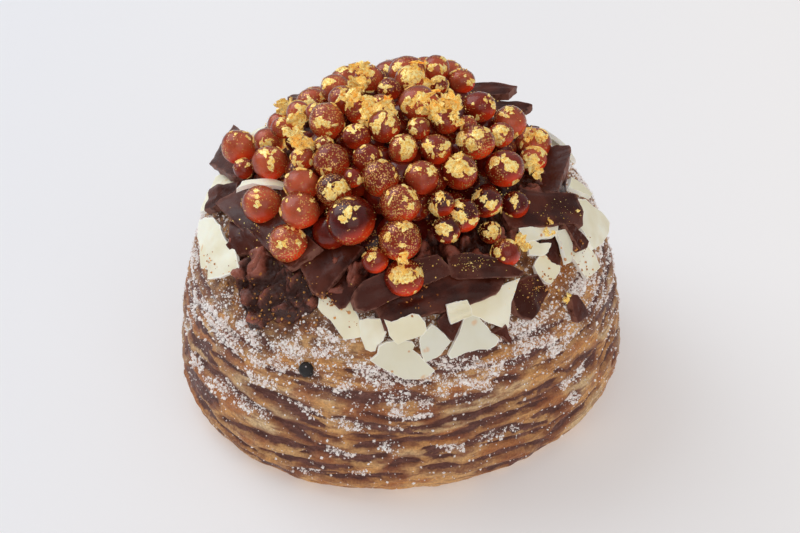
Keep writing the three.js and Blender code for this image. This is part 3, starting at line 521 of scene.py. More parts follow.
def drum_outline(steps=800):
    """The outline's points: a quarter ellipse from foot to waist, then a superellipse to the top."""
    turn = np.linspace(0, math.pi / 2, steps // 2)
    below = np.stack([FOOT + (RADIUS - FOOT) * np.sin(turn), WAIST * (1 - np.cos(turn))], 1)
    share = np.sin(np.linspace(0, math.pi / 2, 2 * steps))[1:]
    out = RADIUS * np.maximum(0, 1 - share ** 2) ** (1 / SQUARENESS)
    above = np.stack([out, WAIST + (HEIGHT - WAIST) * share ** (2 / SHOULDER)], 1)
    return np.vstack([below, above])


def passed_along(points):
    """The length passed at each point of a line of straight pieces."""
    return np.concatenate([[0], np.cumsum(norm(np.diff(points, axis=0), axis=1))])


OUTLINE = drum_outline()
RUN = passed_along(OUTLINE)
SLOPE = np.gradient(OUTLINE, axis=0)
SLOPE /= norm(SLOPE, axis=1)[:, None]
WHOLE_RUN = RUN[-1]


def on_drum(turn, run, lift=0.0):
    """The point at an angle round the drum and a length up its outline, lifted along the outline's normal.
    The distance out is scaled by 1 and a cosine of twice and one of three times the angle, and the drum
    leans."""
    run = np.clip(run, 0, WHOLE_RUN)
    normal_out, normal_up = np.interp(run, RUN, SLOPE[:, 1]), -np.interp(run, RUN, SLOPE[:, 0])
    plan = 1 + OVAL * np.cos(2 * turn + OVAL_PHASE) + TRIPLE * np.cos(3 * turn + TRIPLE_PHASE)
    out = (np.interp(run, RUN, OUTLINE[:, 0]) + lift * normal_out) * plan
    up = np.interp(run, RUN, OUTLINE[:, 1]) + lift * normal_up
    lean = np.clip(up / HEIGHT, 0, 1)
    return points_of(out * np.cos(turn) + LEAN_X * lean, out * np.sin(turn) + LEAN_Y * lean, up)


def run_at_radius(radius):
    """The length up the outline at which its upper part is as far out as asked."""
    first = int(np.argmax(OUTLINE[:, 0]))
    return np.interp(-np.asarray(radius, float), -OUTLINE[first:, 0], RUN[first:])


def unrolled(turn, base):
    """Points on a plain cylinder of the drum's size, where noise is read so that it closes round the drum."""
    return points_of(ROLL * np.cos(turn), ROLL * np.sin(turn), base)


def drawn_out(turn, base, size, stretch_out, seed):
    """Noise whose features are long round the drum and short up it, slanted by a broader noise."""
    slant = 2.6 * noise(unrolled(turn, base), 24, 9)
    return noise(unrolled(turn, (base + slant) * stretch_out), size, seed)


def beside_strokes(turn, run, strokes):
    """The millimetres outside the nearest stroke, negative inside it, and at most the farthest told: the
    distance to its line of straight pieces, less half its width there, which falls towards both ends with
    the root of a sine."""
    turn, run = (np.asarray(v, float) for v in np.broadcast_arrays(turn, run))
    shape, turn, run = turn.shape, turn.ravel(), run.ravel()
    nearest = np.full(turn.shape, FARTHEST)
    for wide, *marks in strokes:
        line = np.reshape(marks, (-1, 2)).astype(float)
        start = math.radians(line[0, 0])
        along = ROLL * np.unwrap(np.radians(line[:, 0]) - start)
        x = ROLL * ((turn - start + math.pi + 0.3) % (2 * math.pi) - math.pi - 0.3)
        room = wide / 2 + FARTHEST
        near = (x > along.min() - room) & (x < along.max() + room)
        near &= (run > line[:, 1].min() - room) & (run < line[:, 1].max() + room)
        x, y = x[near], run[near]
        best = nearest[near]
        for k in range(len(line) - 1):
            a, b = np.array([along[k], line[k, 1]]), np.array([along[k + 1], line[k + 1, 1]])
            way = b - a
            part = np.clip(((x - a[0]) * way[0] + (y - a[1]) * way[1]) / (way @ way), 0, 1)
            share = (k + part) / (len(line) - 1)
            half = wide / 2 * np.sqrt(np.sin(math.pi * np.clip(share, 0.02, 0.98)))
            best = np.minimum(best, np.hypot(x - a[0] - part * way[0], y - a[1] - part * way[1]) - half)
        nearest[near] = best
    return nearest.reshape(shape)


def streaks_behind(first, last, pitch, widest, seed):
    """Streaks for the sides that don't show: level after level, strokes of random length follow each other
    round, from just before the right to just past the left."""
    draw = shaker(seed)
    rows = []
    for level in np.arange(first, last, pitch):
        at = -16 + draw.uniform(-12, 6)
        while at < 200:
            span, slope, up = draw.uniform(16, 50), draw.uniform(-1.6, 1.6), level + draw.uniform(-0.9, 0.9)
            marks = []
            for share in (0, 0.25, 0.5, 0.75, 1):
                marks += [at + span * share, up + slope * (share - 0.5) + draw.uniform(-0.35, 0.35)]
            rows.append((widest * draw.uniform(0.4, 1.0), *marks))
            at += span * draw.uniform(0.6, 1.15)
    return rows


def sight_line(x, y):
    """The direction in which the camera sees a position of the photograph, in pixels from its upper left."""
    right, rise = (x - PICTURE_WIDE / 2) * PIXEL, (PICTURE_HIGH / 2 - y) * PIXEL
    way = np.array([right, math.cos(TILT) + rise * math.sin(TILT), rise * math.cos(TILT) - math.sin(TILT)])
    return way / norm(way)


def in_picture(points):
    """Where points stand in the photograph, in pixels from its upper left."""
    away = points - CAMERA_PLACE
    depth = away[..., 1] * math.cos(TILT) - away[..., 2] * math.sin(TILT)
    rise = away[..., 1] * math.sin(TILT) + away[..., 2] * math.cos(TILT)
    return PICTURE_WIDE / 2 + away[..., 0] / depth / PIXEL, PICTURE_HIGH / 2 - rise / depth / PIXEL


def nearest_marks(points, marks):
    """For each marked position, which of the points stands nearest to it in the photograph."""
    across, down = in_picture(points)
    return np.array([np.argmin((across - x) ** 2 + (down - y) ** 2) for x, y in marks])


def strokes_on_drum(strokes):
    """Strokes marked in the photograph as widths in millimetres, then angles and runs: those of the nearest
    point of a fine grid on the side of the drum that faces the camera. A pixel's worth is the run that it
    covers there."""
    angles, runs = np.radians(np.arange(-215, 36, 0.5)), np.arange(0, 60, 0.25)
    turn, run = np.meshgrid(angles, runs, indexing="ij")
    skin = on_drum(turn, run, 0.3)
    outward = np.cross(np.gradient(skin, axis=0), np.gradient(skin, axis=1))
    shown = np.einsum("ijk,ijk->ij", outward, CAMERA_PLACE - skin) > 0
    pixels = np.abs(np.gradient(in_picture(skin)[1], 0.25, axis=1))[shown]
    rows = []
    for wide, *marks in strokes:
        found = nearest_marks(skin[shown], marks)
        places = np.stack([np.degrees(turn[shown][found]), run[shown][found]], 1)
        rows.append((wide / pixels[found].mean(), *places.ravel()))
    return rows


ALL_STREAKS = strokes_on_drum(CHOCOLATE_STREAKS) + streaks_behind(6, 37, 2.9, 2.4, 11)
ALL_TOASTED = strokes_on_drum(TOASTED_STREAKS) + streaks_behind(8, 36, 9.0, 3.4, 12)
ALL_PALE = strokes_on_drum(PALE_STREAKS) + streaks_behind(7, 36, 7.0, 2.8, 13)
ALL_DRIFTS = strokes_on_drum(SUGAR_DRIFTS)


def streak_distance(turn, run, width):
    """The millimetres outside the nearest chocolate streak, with edges made ragged by noise drawn out along
    it, and moved outwards where the usual width is more than the marked one."""
    ragged = 0.5 * drawn_out(turn, run, 5, 4, 5) + 0.3 * drawn_out(turn, run, 1.8, 3, 6)
    return beside_strokes(turn, run, ALL_STREAKS) + ragged * 0.55 - 0.08 - 0.4 * (width - USUAL_STREAK)


def dough_lift(turn, run, relief):
    """The dough's relief: plain layers stand out by their distance from the streaks, with lumps and fibres of
    noise."""
    distance = streak_distance(turn, run, USUAL_STREAK)
    standing = fade(run, 1, 7) * (1 - fade(run, 46, 52))
    at = unrolled(turn, run)
    ridge = relief * (2.1 * fade(distance, -0.7, 0.9) - 1.25)
    fibres = 0.2 * drawn_out(turn, run, 2.4, 4.5, 23) + 0.14 * drawn_out(turn, run, 6, 6, 24)
    lumps = 0.2 * rumple(at, 5, 21) + fibres + 0.12 * rumple(at, 1.5, 22, 2)
    return standing * ridge + fade(run, 0, 3) * (lumps - 0.14)


def sugar_cover(turn, run):
    """How thickly sugar lies, from 0 to 1: in the marked drifts, in clumps on the shoulder and along streaks
    behind, and thinly scattered all over."""
    at = unrolled(turn, run)
    degrees = np.degrees(np.arctan2(np.sin(turn), np.cos(turn)))
    shown = fade(degrees, -168, -156) * (1 - fade(degrees, -26, -12))
    clumps = fade(rumple(at, 3.4, 31), -0.2, 0.3) * fade(rumple(at, 1.3, 32, 2), -0.45, 0.25)
    marked = fade(-beside_strokes(turn, run, ALL_DRIFTS) + 1.3 * rumple(at, 1.7, 34, 2), -0.4, 0.8)
    gaps = 0.3 + 0.7 * fade(rumple(at, 1.1, 35, 2), -0.5, 0.2)
    shoulder = fade(run, 25, 33) * (1 - fade(run, 50, 56))
    near = bell(streak_distance(turn, run, USUAL_STREAK), 0, 0.8)
    drift = near * fade(drawn_out(turn, run, 12, 3, 33), -0.05, 0.4) * clumps
    below = fade(run, 2, 8) * (1 - fade(run, 50, 58))
    everywhere = below * (0.014 + 0.05 * fade(run, 20, 34)) + 0.3 * shoulder * clumps
    behind = 0.6 * shoulder * clumps + 0.55 * below * drift
    return np.clip(shown * marked * gaps * 0.9 + (1 - shown) * behind + everywhere, 0, 1)


def cream_reach(turn):
    """The cream's ragged reach: two sines of the angle, and a tongue that runs down at the front left."""
    off = (np.degrees(turn) - TONGUE_AT + 180) % 360 - 180
    waves = CREAM_REACH + 0.8 * np.sin(5 * turn + 0.8) + 0.5 * np.sin(11 * turn + 2)
    return waves + TONGUE_LONG * bell(off, 0, TONGUE_WIDE)


def capped_rows(first, grid, last):
    """Points and faces of a closed surface: a grid of rows that go once round, between two single end points.
    The inside is on the left of the rows' travel."""
    count, columns = grid.shape[:2]
    points = np.vstack([np.reshape(first, (1, 3)), grid.reshape(-1, 3), np.reshape(last, (1, 3))])
    column = np.arange(columns)
    ahead = (column + 1) % columns
    top = 1 + (count - 1) * columns
    low = 1 + np.arange(count - 1)[:, None] * columns
    high = low + columns
    quads = np.stack([low + column, low + ahead, high + ahead, high + column], -1).reshape(-1, 4)
    start = np.stack([np.zeros(columns, int), 1 + ahead, 1 + column], 1)
    end = np.stack([top + column, top + ahead, np.full(columns, len(points) - 1)], 1)
    return points, [quads, start, end]


def capped_values(first, grid, last):
    """Values for the points of capped_rows, in their order."""
    return np.concatenate([[first], np.ravel(grid), [last]])


def whole_mesh(name, points, faces, values=None, crease=180):
    """An object from points in millimetres, arrays of faces and named values of its points, kept inside the
    CAD box. Its edges are sharp where the faces meet at more than the crease in degrees."""
    points = np.clip(points, LOWEST + INSIDE_BOX, HIGHEST - INSIDE_BOX)
    mesh = bpy.data.meshes.new(name)
    loops = np.concatenate([f.ravel() for f in faces]).astype(np.int32)
    sides = np.concatenate([np.full(len(f), f.shape[1]) for f in faces])
    mesh.vertices.add(len(points))
    mesh.loops.add(len(loops))
    mesh.polygons.add(len(sides))
    mesh.vertices.foreach_set("co", (points / 1000).astype(np.float32).ravel())
    mesh.loops.foreach_set("vertex_index", loops)
    mesh.polygons.foreach_set("loop_start", (np.cumsum(sides) - sides).astype(np.int32))
    for key, value in (values or {}).items():
        spread = np.broadcast_to(value, len(points)).astype(np.float32)
        mesh.attributes.new(key, "FLOAT", "POINT").data.foreach_set("value", np.ascontiguousarray(spread))
    mesh.update(calc_edges=True)
    mesh.validate()
    mesh.shade_smooth()
    if crease < 180:
        mesh.set_sharp_from_angle(angle=math.radians(crease))
    made = bpy.data.objects.new(name, mesh)
    bpy.context.scene.collection.objects.link(made)
    return made


def finish_piece(piece, slot, material, *nodes):
    """Gives a piece its material, hides the CAD nodes it stands for and lets it ride on the body. The slot is
    not used.
    """
    piece.data.materials.append(material)
    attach(piece, "root")
    if nodes:
        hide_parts(*nodes)


def joined(parts):
    """Points, faces and values of several closed surfaces, put together in one."""
    points, faces, values, first = [], [], {}, 0
    for part_points, part_faces, part_values in parts:
        points.append(part_points)
        faces.extend(f + first for f in part_faces)
        for key, value in part_values.items():
            values.setdefault(key, []).append(np.broadcast_to(value, len(part_points)))
        first += len(part_points)
    return np.vstack(points), faces, {key: np.concatenate(value) for key, value in values.items()}


OCTAHEDRON = np.array([(1, 0, 0), (-1, 0, 0), (0, 1, 0), (0, -1, 0), (0, 0, 1), (0, 0, -1)], float)
OCTAHEDRON_FACES = np.array([
    (0, 2, 4), (2, 1, 4), (1, 3, 4), (3, 0, 4), (2, 0, 5), (1, 2, 5), (3, 1, 5), (0, 3, 5),
])


def random_turns(draw, count):
    """Rotation matrices of random unit quaternions."""
    q = draw.normal(size=(count, 4))
    w, x, y, z = (q / norm(q, axis=1)[:, None]).T
    rows = [
        [1 - 2 * (y * y + z * z), 2 * (x * y - z * w), 2 * (x * z + y * w)],
        [2 * (x * y + z * w), 1 - 2 * (x * x + z * z), 2 * (y * z - x * w)],
        [2 * (x * z - y * w), 2 * (y * z + x * w), 1 - 2 * (x * x + y * y)],
    ]
    return np.moveaxis(np.array(rows), 2, 0)


def scattered_grains(draw, middles, size, flatness=1.0):
    """An octahedron for each middle: its three axes stretched at random, then turned at random."""
    count = len(middles)
    stretch = size[:, None] / 2 * draw.uniform(0.6, 1.25, (count, 3)) * np.array([1, 1, flatness])
    corners = OCTAHEDRON[None] * stretch[:, None]
    points = middles[:, None] + np.einsum("nij,nkj->nki", random_turns(draw, count), corners)
    faces = OCTAHEDRON_FACES[None] + len(OCTAHEDRON) * np.arange(count)[:, None, None]
    return points.reshape(-1, 3), [faces.reshape(-1, 3)]


def own_shades(draw, count):
    """A random value for each grain, given to all its corners."""
    return {"grain": np.repeat(draw.uniform(size=count), len(OCTAHEDRON))}


def spread_on_drum(draw, count, cover, low, high):
    """Random places on the drum, as angle and base, kept where a draw is under the cover there."""
    turn = draw.uniform(-math.pi, math.pi, count * 12)
    base = draw.uniform(low, high, count * 12)
    area = np.interp(base, RUN, OUTLINE[:, 0]) / RADIUS
    kept = draw.uniform(size=len(turn)) < cover(turn, base) * area
    return turn[kept][:count], base[kept][:count]


def shard_outline(shard, u, v):
    """A point of a shard's own plane for u along it and v across it, both from -1 to 1. Its long edges are
    straight between corners: two cells of them where it is short, else three, with skewed ends. The corners
    stray by a sine that the shard's place sets."""
    long, tail, nose = shard.size
    tail_skew, nose_skew = shard.skew
    phase = shard.place[0] + 2 * shard.place[1]
    at = np.linspace(-1, 1, 3 if long < 6 else 4)
    edges = []
    for side in (-1, 1):
        width = (tail * (1 - at) + nose * (1 + at)) / 2
        skew = (tail_skew * (1 - at) + nose_skew * (1 + at)) / 2
        x = at * long / 2 + side * skew / 2 + 0.35 * at * at * np.sin(4 * side + phase)
        edges.append((x, side * width / 2 + 0.35 * side * np.sin(5 * at + 2 * phase)))
    (low_x, low_y), (high_x, high_y) = edges
    x = np.interp(u, at, low_x) * (1 - v) / 2 + np.interp(u, at, high_x) * (1 + v) / 2
    y = np.interp(u, at, low_y) * (1 - v) / 2 + np.interp(u, at, high_y) * (1 + v) / 2
    return x, y


def turned(points, heading, nose, roll):
    """Points rolled about X, then with the nose lifted, then turned to their heading about Z."""
    h, n, r = np.radians([heading, -nose, roll])
    about_z = np.array([[np.cos(h), -np.sin(h), 0], [np.sin(h), np.cos(h), 0], [0, 0, 1]])
    about_y = np.array([[np.cos(n), 0, np.sin(n)], [0, 1, 0], [-np.sin(n), 0, np.cos(n)]])
    about_x = np.array([[1, 0, 0], [0, np.cos(r), -np.sin(r)], [0, np.sin(r), np.cos(r)]])
    return points @ (about_z @ about_y @ about_x).T


def placed_shard(shard, x, y, height):
    """Puts a shard's own points in the frame: along the drum with its tip down, or bowed and then turned. How
    far along the shard a point is, from -1 to 1, is told with the skew of its ends taken out."""
    long, tail, nose = shard.size
    across = np.clip(y / (tail + nose) * 4, -1.2, 1.2)
    u = np.clip((x - across * sum(shard.skew) / 4) / long * 2, -1.3, 1.3)
    if isinstance(shard.pose, tuple):
        bowed = points_of(x, y, shard.bend * (1 - u * u) + height)
        return turned(bowed, *shard.pose) + np.array(shard.place, float)
    around, radius, lift = shard.place
    heading = math.radians(shard.pose)
    down, across = x * np.cos(heading) - y * np.sin(heading), x * np.sin(heading) + y * np.cos(heading)
    run = run_at_radius(radius) - down
    return on_drum(math.radians(around) + across / radius, run, lift - shard.bend * u / 2 + height)


def broken_edge(shard, thick, seed, count=96):
    """A shard's edge in its own plane, once round in count points. It is the CAD's outline, chipped by
    angular noise. Where the photograph shows the shard it is the outline marked there instead, seen on its
    upper face, no more than 1 mm outside the CAD's and 1.4 mm inside it."""
    along = np.arange(count) / count * 8
    u = np.clip(2 - np.abs((along + 2) % 8 - 4), -1, 1)
    v = np.clip(2 - np.abs(along % 8 - 4), -1, 1)
    middle = np.array(shard_outline(shard, np.array(0.0), np.array(0.0)))
    edge = np.stack(shard_outline(shard, u, v), -1) - middle
    reach = norm(edge, axis=1)
    if shard.name not in SHARD_EDGES:
        at = points_of(edge[:, 0], edge[:, 1], seed * 3.7)
        sizes = (4.4, 2.4, 1.2)
        chips = sum(size / 7 * noise(at, size, seed + 5 * k, smooth=False) for k, size in enumerate(sizes))
        return middle, edge * (1 + chips / np.maximum(1.2, reach))[:, None]
    half = np.abs(edge).max(axis=0) + 2.5
    x, y = np.meshgrid(*(np.arange(-side, side, 0.12) for side in half), indexing="ij")
    skin = placed_shard(shard, x + middle[0], y + middle[1], thick / 2)
    corners = np.stack([x.ravel(), y.ravel()], 1)[nearest_marks(skin.reshape(-1, 3), SHARD_EDGES[shard.name])]
    bearing = np.arctan2(corners[:, 1], corners[:, 0])
    limit = np.interp(bearing, np.arctan2(edge[:, 1], edge[:, 0]), reach, period=2 * math.pi)
    out = norm(corners, axis=1)
    corners *= (np.clip(out, limit - 1.4, limit + 1) / np.maximum(out, 0.1))[:, None]
    if np.cross(corners, np.roll(corners, -1, axis=0)).sum() < 0:
        corners = corners[::-1]
    closed = np.vstack([corners, corners[:1]])
    passed = passed_along(closed)
    at = np.linspace(0, passed[-1], count, endpoint=False)
    at[np.abs(at[:, None] - passed[None, :-1]).argmin(axis=0)] = passed[:-1]
    return middle, np.stack([np.interp(at, passed, closed[:, 0]), np.interp(at, passed, closed[:, 1])], 1)


def shard_surface(shard, thick, seed):
    """A closed broken shard: rings shrink from its edge to the middle of each face, and the rings of the edge
    itself cross from face to face, chipped by angular noise. A rolled shard has ridges across it, another has
    folds along it."""
    middle, edge = broken_edge(shard, thick, seed)
    inward = np.array([0.25, 0.5, 0.72, 0.86, 0.95])
    sizes = np.concatenate([inward, np.ones(5), inward[::-1]])[:, None]
    sides = np.concatenate([-np.ones(6), [-0.45, 0.05, 0.5], np.ones(6)])[:, None]
    out_x, out_y = edge[None, :, 0] * sizes, edge[None, :, 1] * sizes
    flat = points_of(out_x, out_y, seed * 3.7)
    chips = noise(flat, 1.3, seed, smooth=False) + 0.5 * noise(flat, 0.6, seed + 5, smooth=False)
    slant = 0.22 * thick * sides * noise(flat, 5.5, seed + 1)
    layers = 0.1 * noise(points_of(out_x, out_y, 4 * sides + seed), 0.8, seed + 4, smooth=False)
    near = sizes ** 12
    pull = 1 + near * (RIM_CHIPS * chips + slant + layers) / np.maximum(1.2, np.hypot(out_x, out_y))
    x, y = middle[0] + out_x * pull, middle[1] + out_y * pull
    at = points_of(x, y, float(seed))
    folds = 0.22 * thick * noise(points_of(x / 3.5, y, float(seed)), 1.5, seed + 6)
    ridges = 0.2 * np.sin(5 * x) * fade(1 - sizes, 0, 0.3) if "roll" in shard.name else folds
    thin = 1 + 0.12 * noise(at, 3.5, seed + 2)
    buckle = 0.2 * noise(at, 5.0, seed + 3)
    grid = placed_shard(shard, x, y, sides * thick / 2 * thin + buckle + ridges)
    at_middle = 0.2 * noise(np.array([*middle, seed], float), 5.0, seed + 3)
    ends = [placed_shard(shard, *middle, side * thick / 2 + at_middle) for side in (-1, 1)]
    points, faces = capped_rows(ends[0], grid, ends[1])
    rim = capped_values(0, sizes ** 5 * np.ones_like(x), 0)
    return points, faces, {"rim": rim, "shard": np.full(len(points), (seed * 0.618) % 1)}


def make_shards(name, slot, kind, thick, seed, material):
    """Breaks one kind of chocolate into its shards, as one piece that stands for their nodes."""
    shards = [Shard(*row) for row in FREE_SHARDS + SHOULDER_SHARDS if row[0].startswith(kind)]
    parts = [shard_surface(shard, thick, seed + i) for i, shard in enumerate(shards)]
    piece = whole_mesh(name, *joined(parts), crease=42)
    finish_piece(piece, slot, material, *(shard.name + "_shard" for shard in shards))


def on_mound(x, y):
    """The mound's point over x and y: half an ellipsoid that slants from the front left to the back."""
    off = np.hypot((x - SLANT * y) / MOUND_WIDE, (y - MOUND_Y) / MOUND_LONG)
    return np.array([x, y, MOUND_FOOT + MOUND_RISE * math.sqrt(max(0, 1 - off * off))])


def next_dart(state):
    """The next state of the linear congruential rule of the CAD source, and its share from 0 to 1."""
    state = (state * 1664525 + 1013904223) % 2 ** 32
    return state, state / 2 ** 32


def heaped_pearls():
    """Middles and radii: the marked pearls, then others thrown at the mound, the largest first, that stick
    where there is room for them. The draws follow the same rule as the CAD source."""
    middles = [on_mound(x, y) for x, y, _ in MARKED_PEARLS]
    radii = [wide / 2 for _, _, wide in MARKED_PEARLS]
    strays = [(np.array(row[:3], float), row[3]) for row in STRAY_PEARLS]
    state = FILL_SEED
    size = FILL_LARGEST
    while size > FILL_SMALLEST:
        for _ in range(FILL_DARTS):
            state, share = next_dart(state)
            turn = share * 2 * math.pi
            state, share = next_dart(state)
            off = math.sqrt(share) * 0.95
            y = MOUND_Y + off * MOUND_LONG * math.sin(turn)
            at = on_mound(SLANT * y + off * MOUND_WIDE * math.cos(turn), y)
            near = [norm(at - m) > 0.95 * (r + size) for m, r in zip(middles, radii)]
            clear = [norm(at - m) > 0.95 * (0.55 * wide + size) for m, wide in strays]
            if all(near) and all(clear):
                middles.append(at)
                radii.append(size)
        size -= FILL_STEP
    for index, depth in SETTLED.items():
        middles[index] = middles[index] - np.array([0, 0, depth])
    middles = [m for i, m in enumerate(middles) if i not in LEFT_OUT] + [m for m, _ in strays]
    radii = [r for i, r in enumerate(radii) if i not in LEFT_OUT] + [wide / 2 for _, wide in strays]
    return np.array(middles), np.array(radii)


PEARLS, PEARL_RADII = heaped_pearls()


def under_pearls():
    """A second layer of pearls, a pearl's depth inside the first, on a spiral of equal turns."""
    share = (np.arange(UNDER_PEARLS) + 0.5) / UNDER_PEARLS
    turn = np.arange(UNDER_PEARLS) * GOLDEN_TURN
    off = np.sqrt(share) * 0.93
    inward = off * (1 - 2 * HOLLOW * np.clip(np.sin(turn), 0, 1) * np.clip(np.cos(turn), 0, 1))
    y = MOUND_Y + inward * (MOUND_LONG - UNDER_INSET) * np.sin(turn)
    x = SLANT * y + inward * (MOUND_WIDE - UNDER_INSET) * np.cos(turn)
    z = MOUND_FOOT + (MOUND_RISE - UNDER_DEEPER) * np.sqrt(1 - off ** 2)
    return points_of(x, y, z), 2.9 + 0.5 * np.sin(share * 91)


def pearl_skin(index, middle, radius, ways, lumps):
    """The pearl's points in the directions given: the radius times 1 plus noise of the direction, with each
    axis a little longer or shorter by a sine of the pearl's number."""
    seed = 101 + 13 * index
    fine = 0.25 * lumps * noise(ways + seed, 0.45, seed + 1)
    reach = radius * (1 + lumps * noise(ways + seed, 1.1, seed) + fine)
    axes = np.array([1 + 0.05 * math.sin(7.1 * index), 1 + 0.05 * math.sin(3.3 * index + 1), 0.94])
    return middle + ways * reach[..., None] * axes


def ball_ways(columns, rings):
    """Directions all round, in rings of latitude between the two poles, which are rings themselves."""
    up = np.linspace(-math.pi / 2, math.pi / 2, rings + 2)[:, None]
    turn = all_round(columns)
    return points_of(np.cos(up) * np.cos(turn), np.cos(up) * np.sin(turn), np.sin(up))


def ball(skin):
    """A closed ball from the points of ball_ways."""
    return capped_rows(skin[0, 0], skin[1:-1], skin[-1, 0])


def pearl_surface(index, middle, radius, lumps, jelly, dust=0.0, columns=34, rings=18):
    """A pearl as a ball. Its glow grows towards its lower right, away from the window."""
    ways = ball_ways(columns, rings)
    points, faces = ball(pearl_skin(index, middle, radius, ways, lumps))
    flat_ways = np.vstack([ways[0, 0][None], ways[1:-1].reshape(-1, 3), ways[-1, 0][None]])
    toward = np.array([0.42, -0.5, -0.76])
    return points, faces, {"glow": fade(flat_ways @ toward, 0.15, 1.0), "jelly": jelly, "dust": dust}


def seen_on_pearl(x, y):
    """The pearl that the camera sees at a position of the photograph, or the nearest beside that line of
    sight, and the place on it."""
    way = sight_line(x, y)
    away = PEARLS - CAMERA_PLACE
    along = away @ way
    off = norm(away - along[:, None] * way, axis=1)
    depth = along - np.sqrt(np.maximum(0, PEARL_RADII ** 2 - off ** 2))
    hit = off < 1.1 * PEARL_RADII
    index = int(np.argmin(np.where(hit, depth, NOWHERE) if hit.any() else off - PEARL_RADII))
    spot = CAMERA_PLACE + way * depth[index] - PEARLS[index]
    return index, PEARLS[index] + spot / norm(spot) * PEARL_RADII[index]


def seen_on_pieces(x, y):
    """The place and the outward direction of the first surface that the camera sees at a position of the
    photograph, or None where it sees none."""
    eye, way = Vector(CAMERA_PLACE / 1000), Vector(sight_line(x, y))
    found = None
    for name in SEEN_PIECES:
        hit, place_at, normal, _ = bpy.data.objects[name].ray_cast(eye, way)
        far = (place_at - eye).length if hit else NOWHERE
        if hit and (found is None or far < found[0]):
            found = (far, np.array(place_at) * 1000, np.array(normal))
    return found and found[1:]


def seen_on_heap(x, y):
    """Like seen_on_pieces, but on the pearl at or just beside the line of sight, unless another piece is well
    in front of it or the pearl is far beside."""
    index, on_pearl = seen_on_pearl(x, y)
    away = on_pearl - CAMERA_PLACE
    beside = norm(np.cross(away, sight_line(x, y)))
    seen = seen_on_pieces(x, y)
    if seen and (beside > 3 or norm(away) > norm(seen[0] - CAMERA_PLACE) + 1.5):
        return seen
    return on_pearl, (on_pearl - PEARLS[index]) / PEARL_RADII[index]


def strewn(draw, marks):
    """Places just over the pieces, strewn about marks of the photograph: position, width and height in
    pixels, and number."""
    places = []
    for x, y, wide, high, count in marks:
        for right, down in draw.normal(size=(count, 2)) * 0.3:
            seen = seen_on_pieces(x + right * wide, y + down * high)
            if seen:
                places.append(seen[0] + 0.04 * seen[1])
    return np.array(places)


def torn_round(turn, finer, size, seed, octaves):
    """Rumpled noise read once round a circle, for the ragged rim of a disc."""
    return 0.5 * rumple(points_of(np.cos(turn), np.sin(turn), seed) * finer, size, seed, octaves)


def leaf_patch(index, spot, wide, high, lumps, seed, columns=28, rings=(0.35, 0.6, 0.82, 1.0)):
    """Gold leaf draped on a pearl: a ragged disc of polar rings about the way to the spot, ruffled by noise
    just over the skin, with its underside just beneath. Its edge value grows from 0 in the middle to 1 at the
    rim."""
    middle, radius = PEARLS[index], PEARL_RADII[index]
    way = (spot - middle) / norm(spot - middle)
    side = np.cross([0, 0, 1], way)
    side /= max(1e-6, norm(side))
    upward = np.cross(way, side)
    turn = all_round(columns)
    share = np.concatenate([rings, rings[::-1]])[:, None]
    reach = share * (0.92 + torn_round(turn, 2.1, 1.1, seed, 3)) * 0.68
    right, rise = (np.cos(turn) * reach * wide)[..., None], (np.sin(turn) * reach * high)[..., None]
    flat = way + (side * right + upward * rise) / radius
    ways = flat / norm(flat, axis=-1)[..., None]
    above = np.repeat([0.0, 1.0], len(rings))[:, None]
    ruffle = 0.02 + above * (0.05 + 0.14 * np.abs(noise(ways * radius + seed, 0.45, seed)))
    grid = pearl_skin(index, middle, radius, ways, lumps) + ways * ruffle[..., None]
    ends = [pearl_skin(index, middle, radius, way, lumps) + way * offset for offset in (0.02, 0.12)]
    points, faces = capped_rows(ends[0], grid, ends[1])
    return points, faces, {"edge": capped_values(0, share + 0 * turn, 0)}


def leaf_flake(middle, size, turn, seed):
    """A crumpled flake: a ragged disc bent by noise out of its plane, thin and closed, turned by a matrix."""
    angle = all_round(20)
    ragged = 1 + torn_round(angle, 2, 1.2, seed, 2)
    rings = np.array([0.3, 0.55, 0.78, 1.0])
    share = np.concatenate([rings, rings[::-1]])[:, None]
    x, y = size / 2 * share * ragged * np.cos(angle), size / 2 * share * ragged * np.sin(angle) * 0.75
    bend = size * 0.34
    fold = 0.6 * size * noise(points_of(x, y, seed), bend, seed + 1, smooth=False)
    centre = 0.6 * size * noise(np.array([0, 0, seed], float), bend, seed + 1, smooth=False)
    thin = np.repeat([-0.025, 0.025], len(rings))[:, None]
    grid = points_of(x, y, fold + thin) @ turn.T + middle
    ends = [np.array([0, 0, centre + t]) @ turn.T + middle for t in (-0.025, 0.025)]
    points, faces = capped_rows(ends[0], grid, ends[1])
    return points, faces, {"edge": capped_values(0, 0.75 * share + 0 * angle, 0)}


def fill(inputs, values):
    """Links or sets the inputs named: a socket is linked in its own tree, anything else is set."""
    for key, value in values.items():
        if isinstance(value, bpy.types.NodeSocket):
            value.id_data.links.new(value, inputs[key])
        else:
            inputs[key].default_value = value


def node(tree, kind, inputs=None, **settings):
    """Adds a shader node, sets it up, and links or sets the inputs named."""
    made = tree.nodes.new(kind)
    for key, value in settings.items():
        setattr(made, key, value)
    fill(made.inputs, inputs or {})
    return made


def maths(operation, first, second):
    return node(first.id_data, "ShaderNodeMath", {0: first, 1: second}, operation=operation).outputs[0]


def times(first, second):
    return maths("MULTIPLY", first, second)


def swing(value, width):
    """A value from 0 to 1 as one from minus to plus half the width."""
    return times(maths("SUBTRACT", value, 0.5), width)


def blend(share, first, second, mode="MIX"):
    """Mixes two colours, each a socket or three values, by a share, which is a socket."""
    made = node(share.id_data, "ShaderNodeMix", data_type="RGBA", blend_type=mode, clamp_factor=True)
    first, second = (c if isinstance(c, bpy.types.NodeSocket) else (*c, 1) for c in (first, second))
    fill(made.inputs, {0: share, 6: first, 7: second})
    return made.outputs[2]


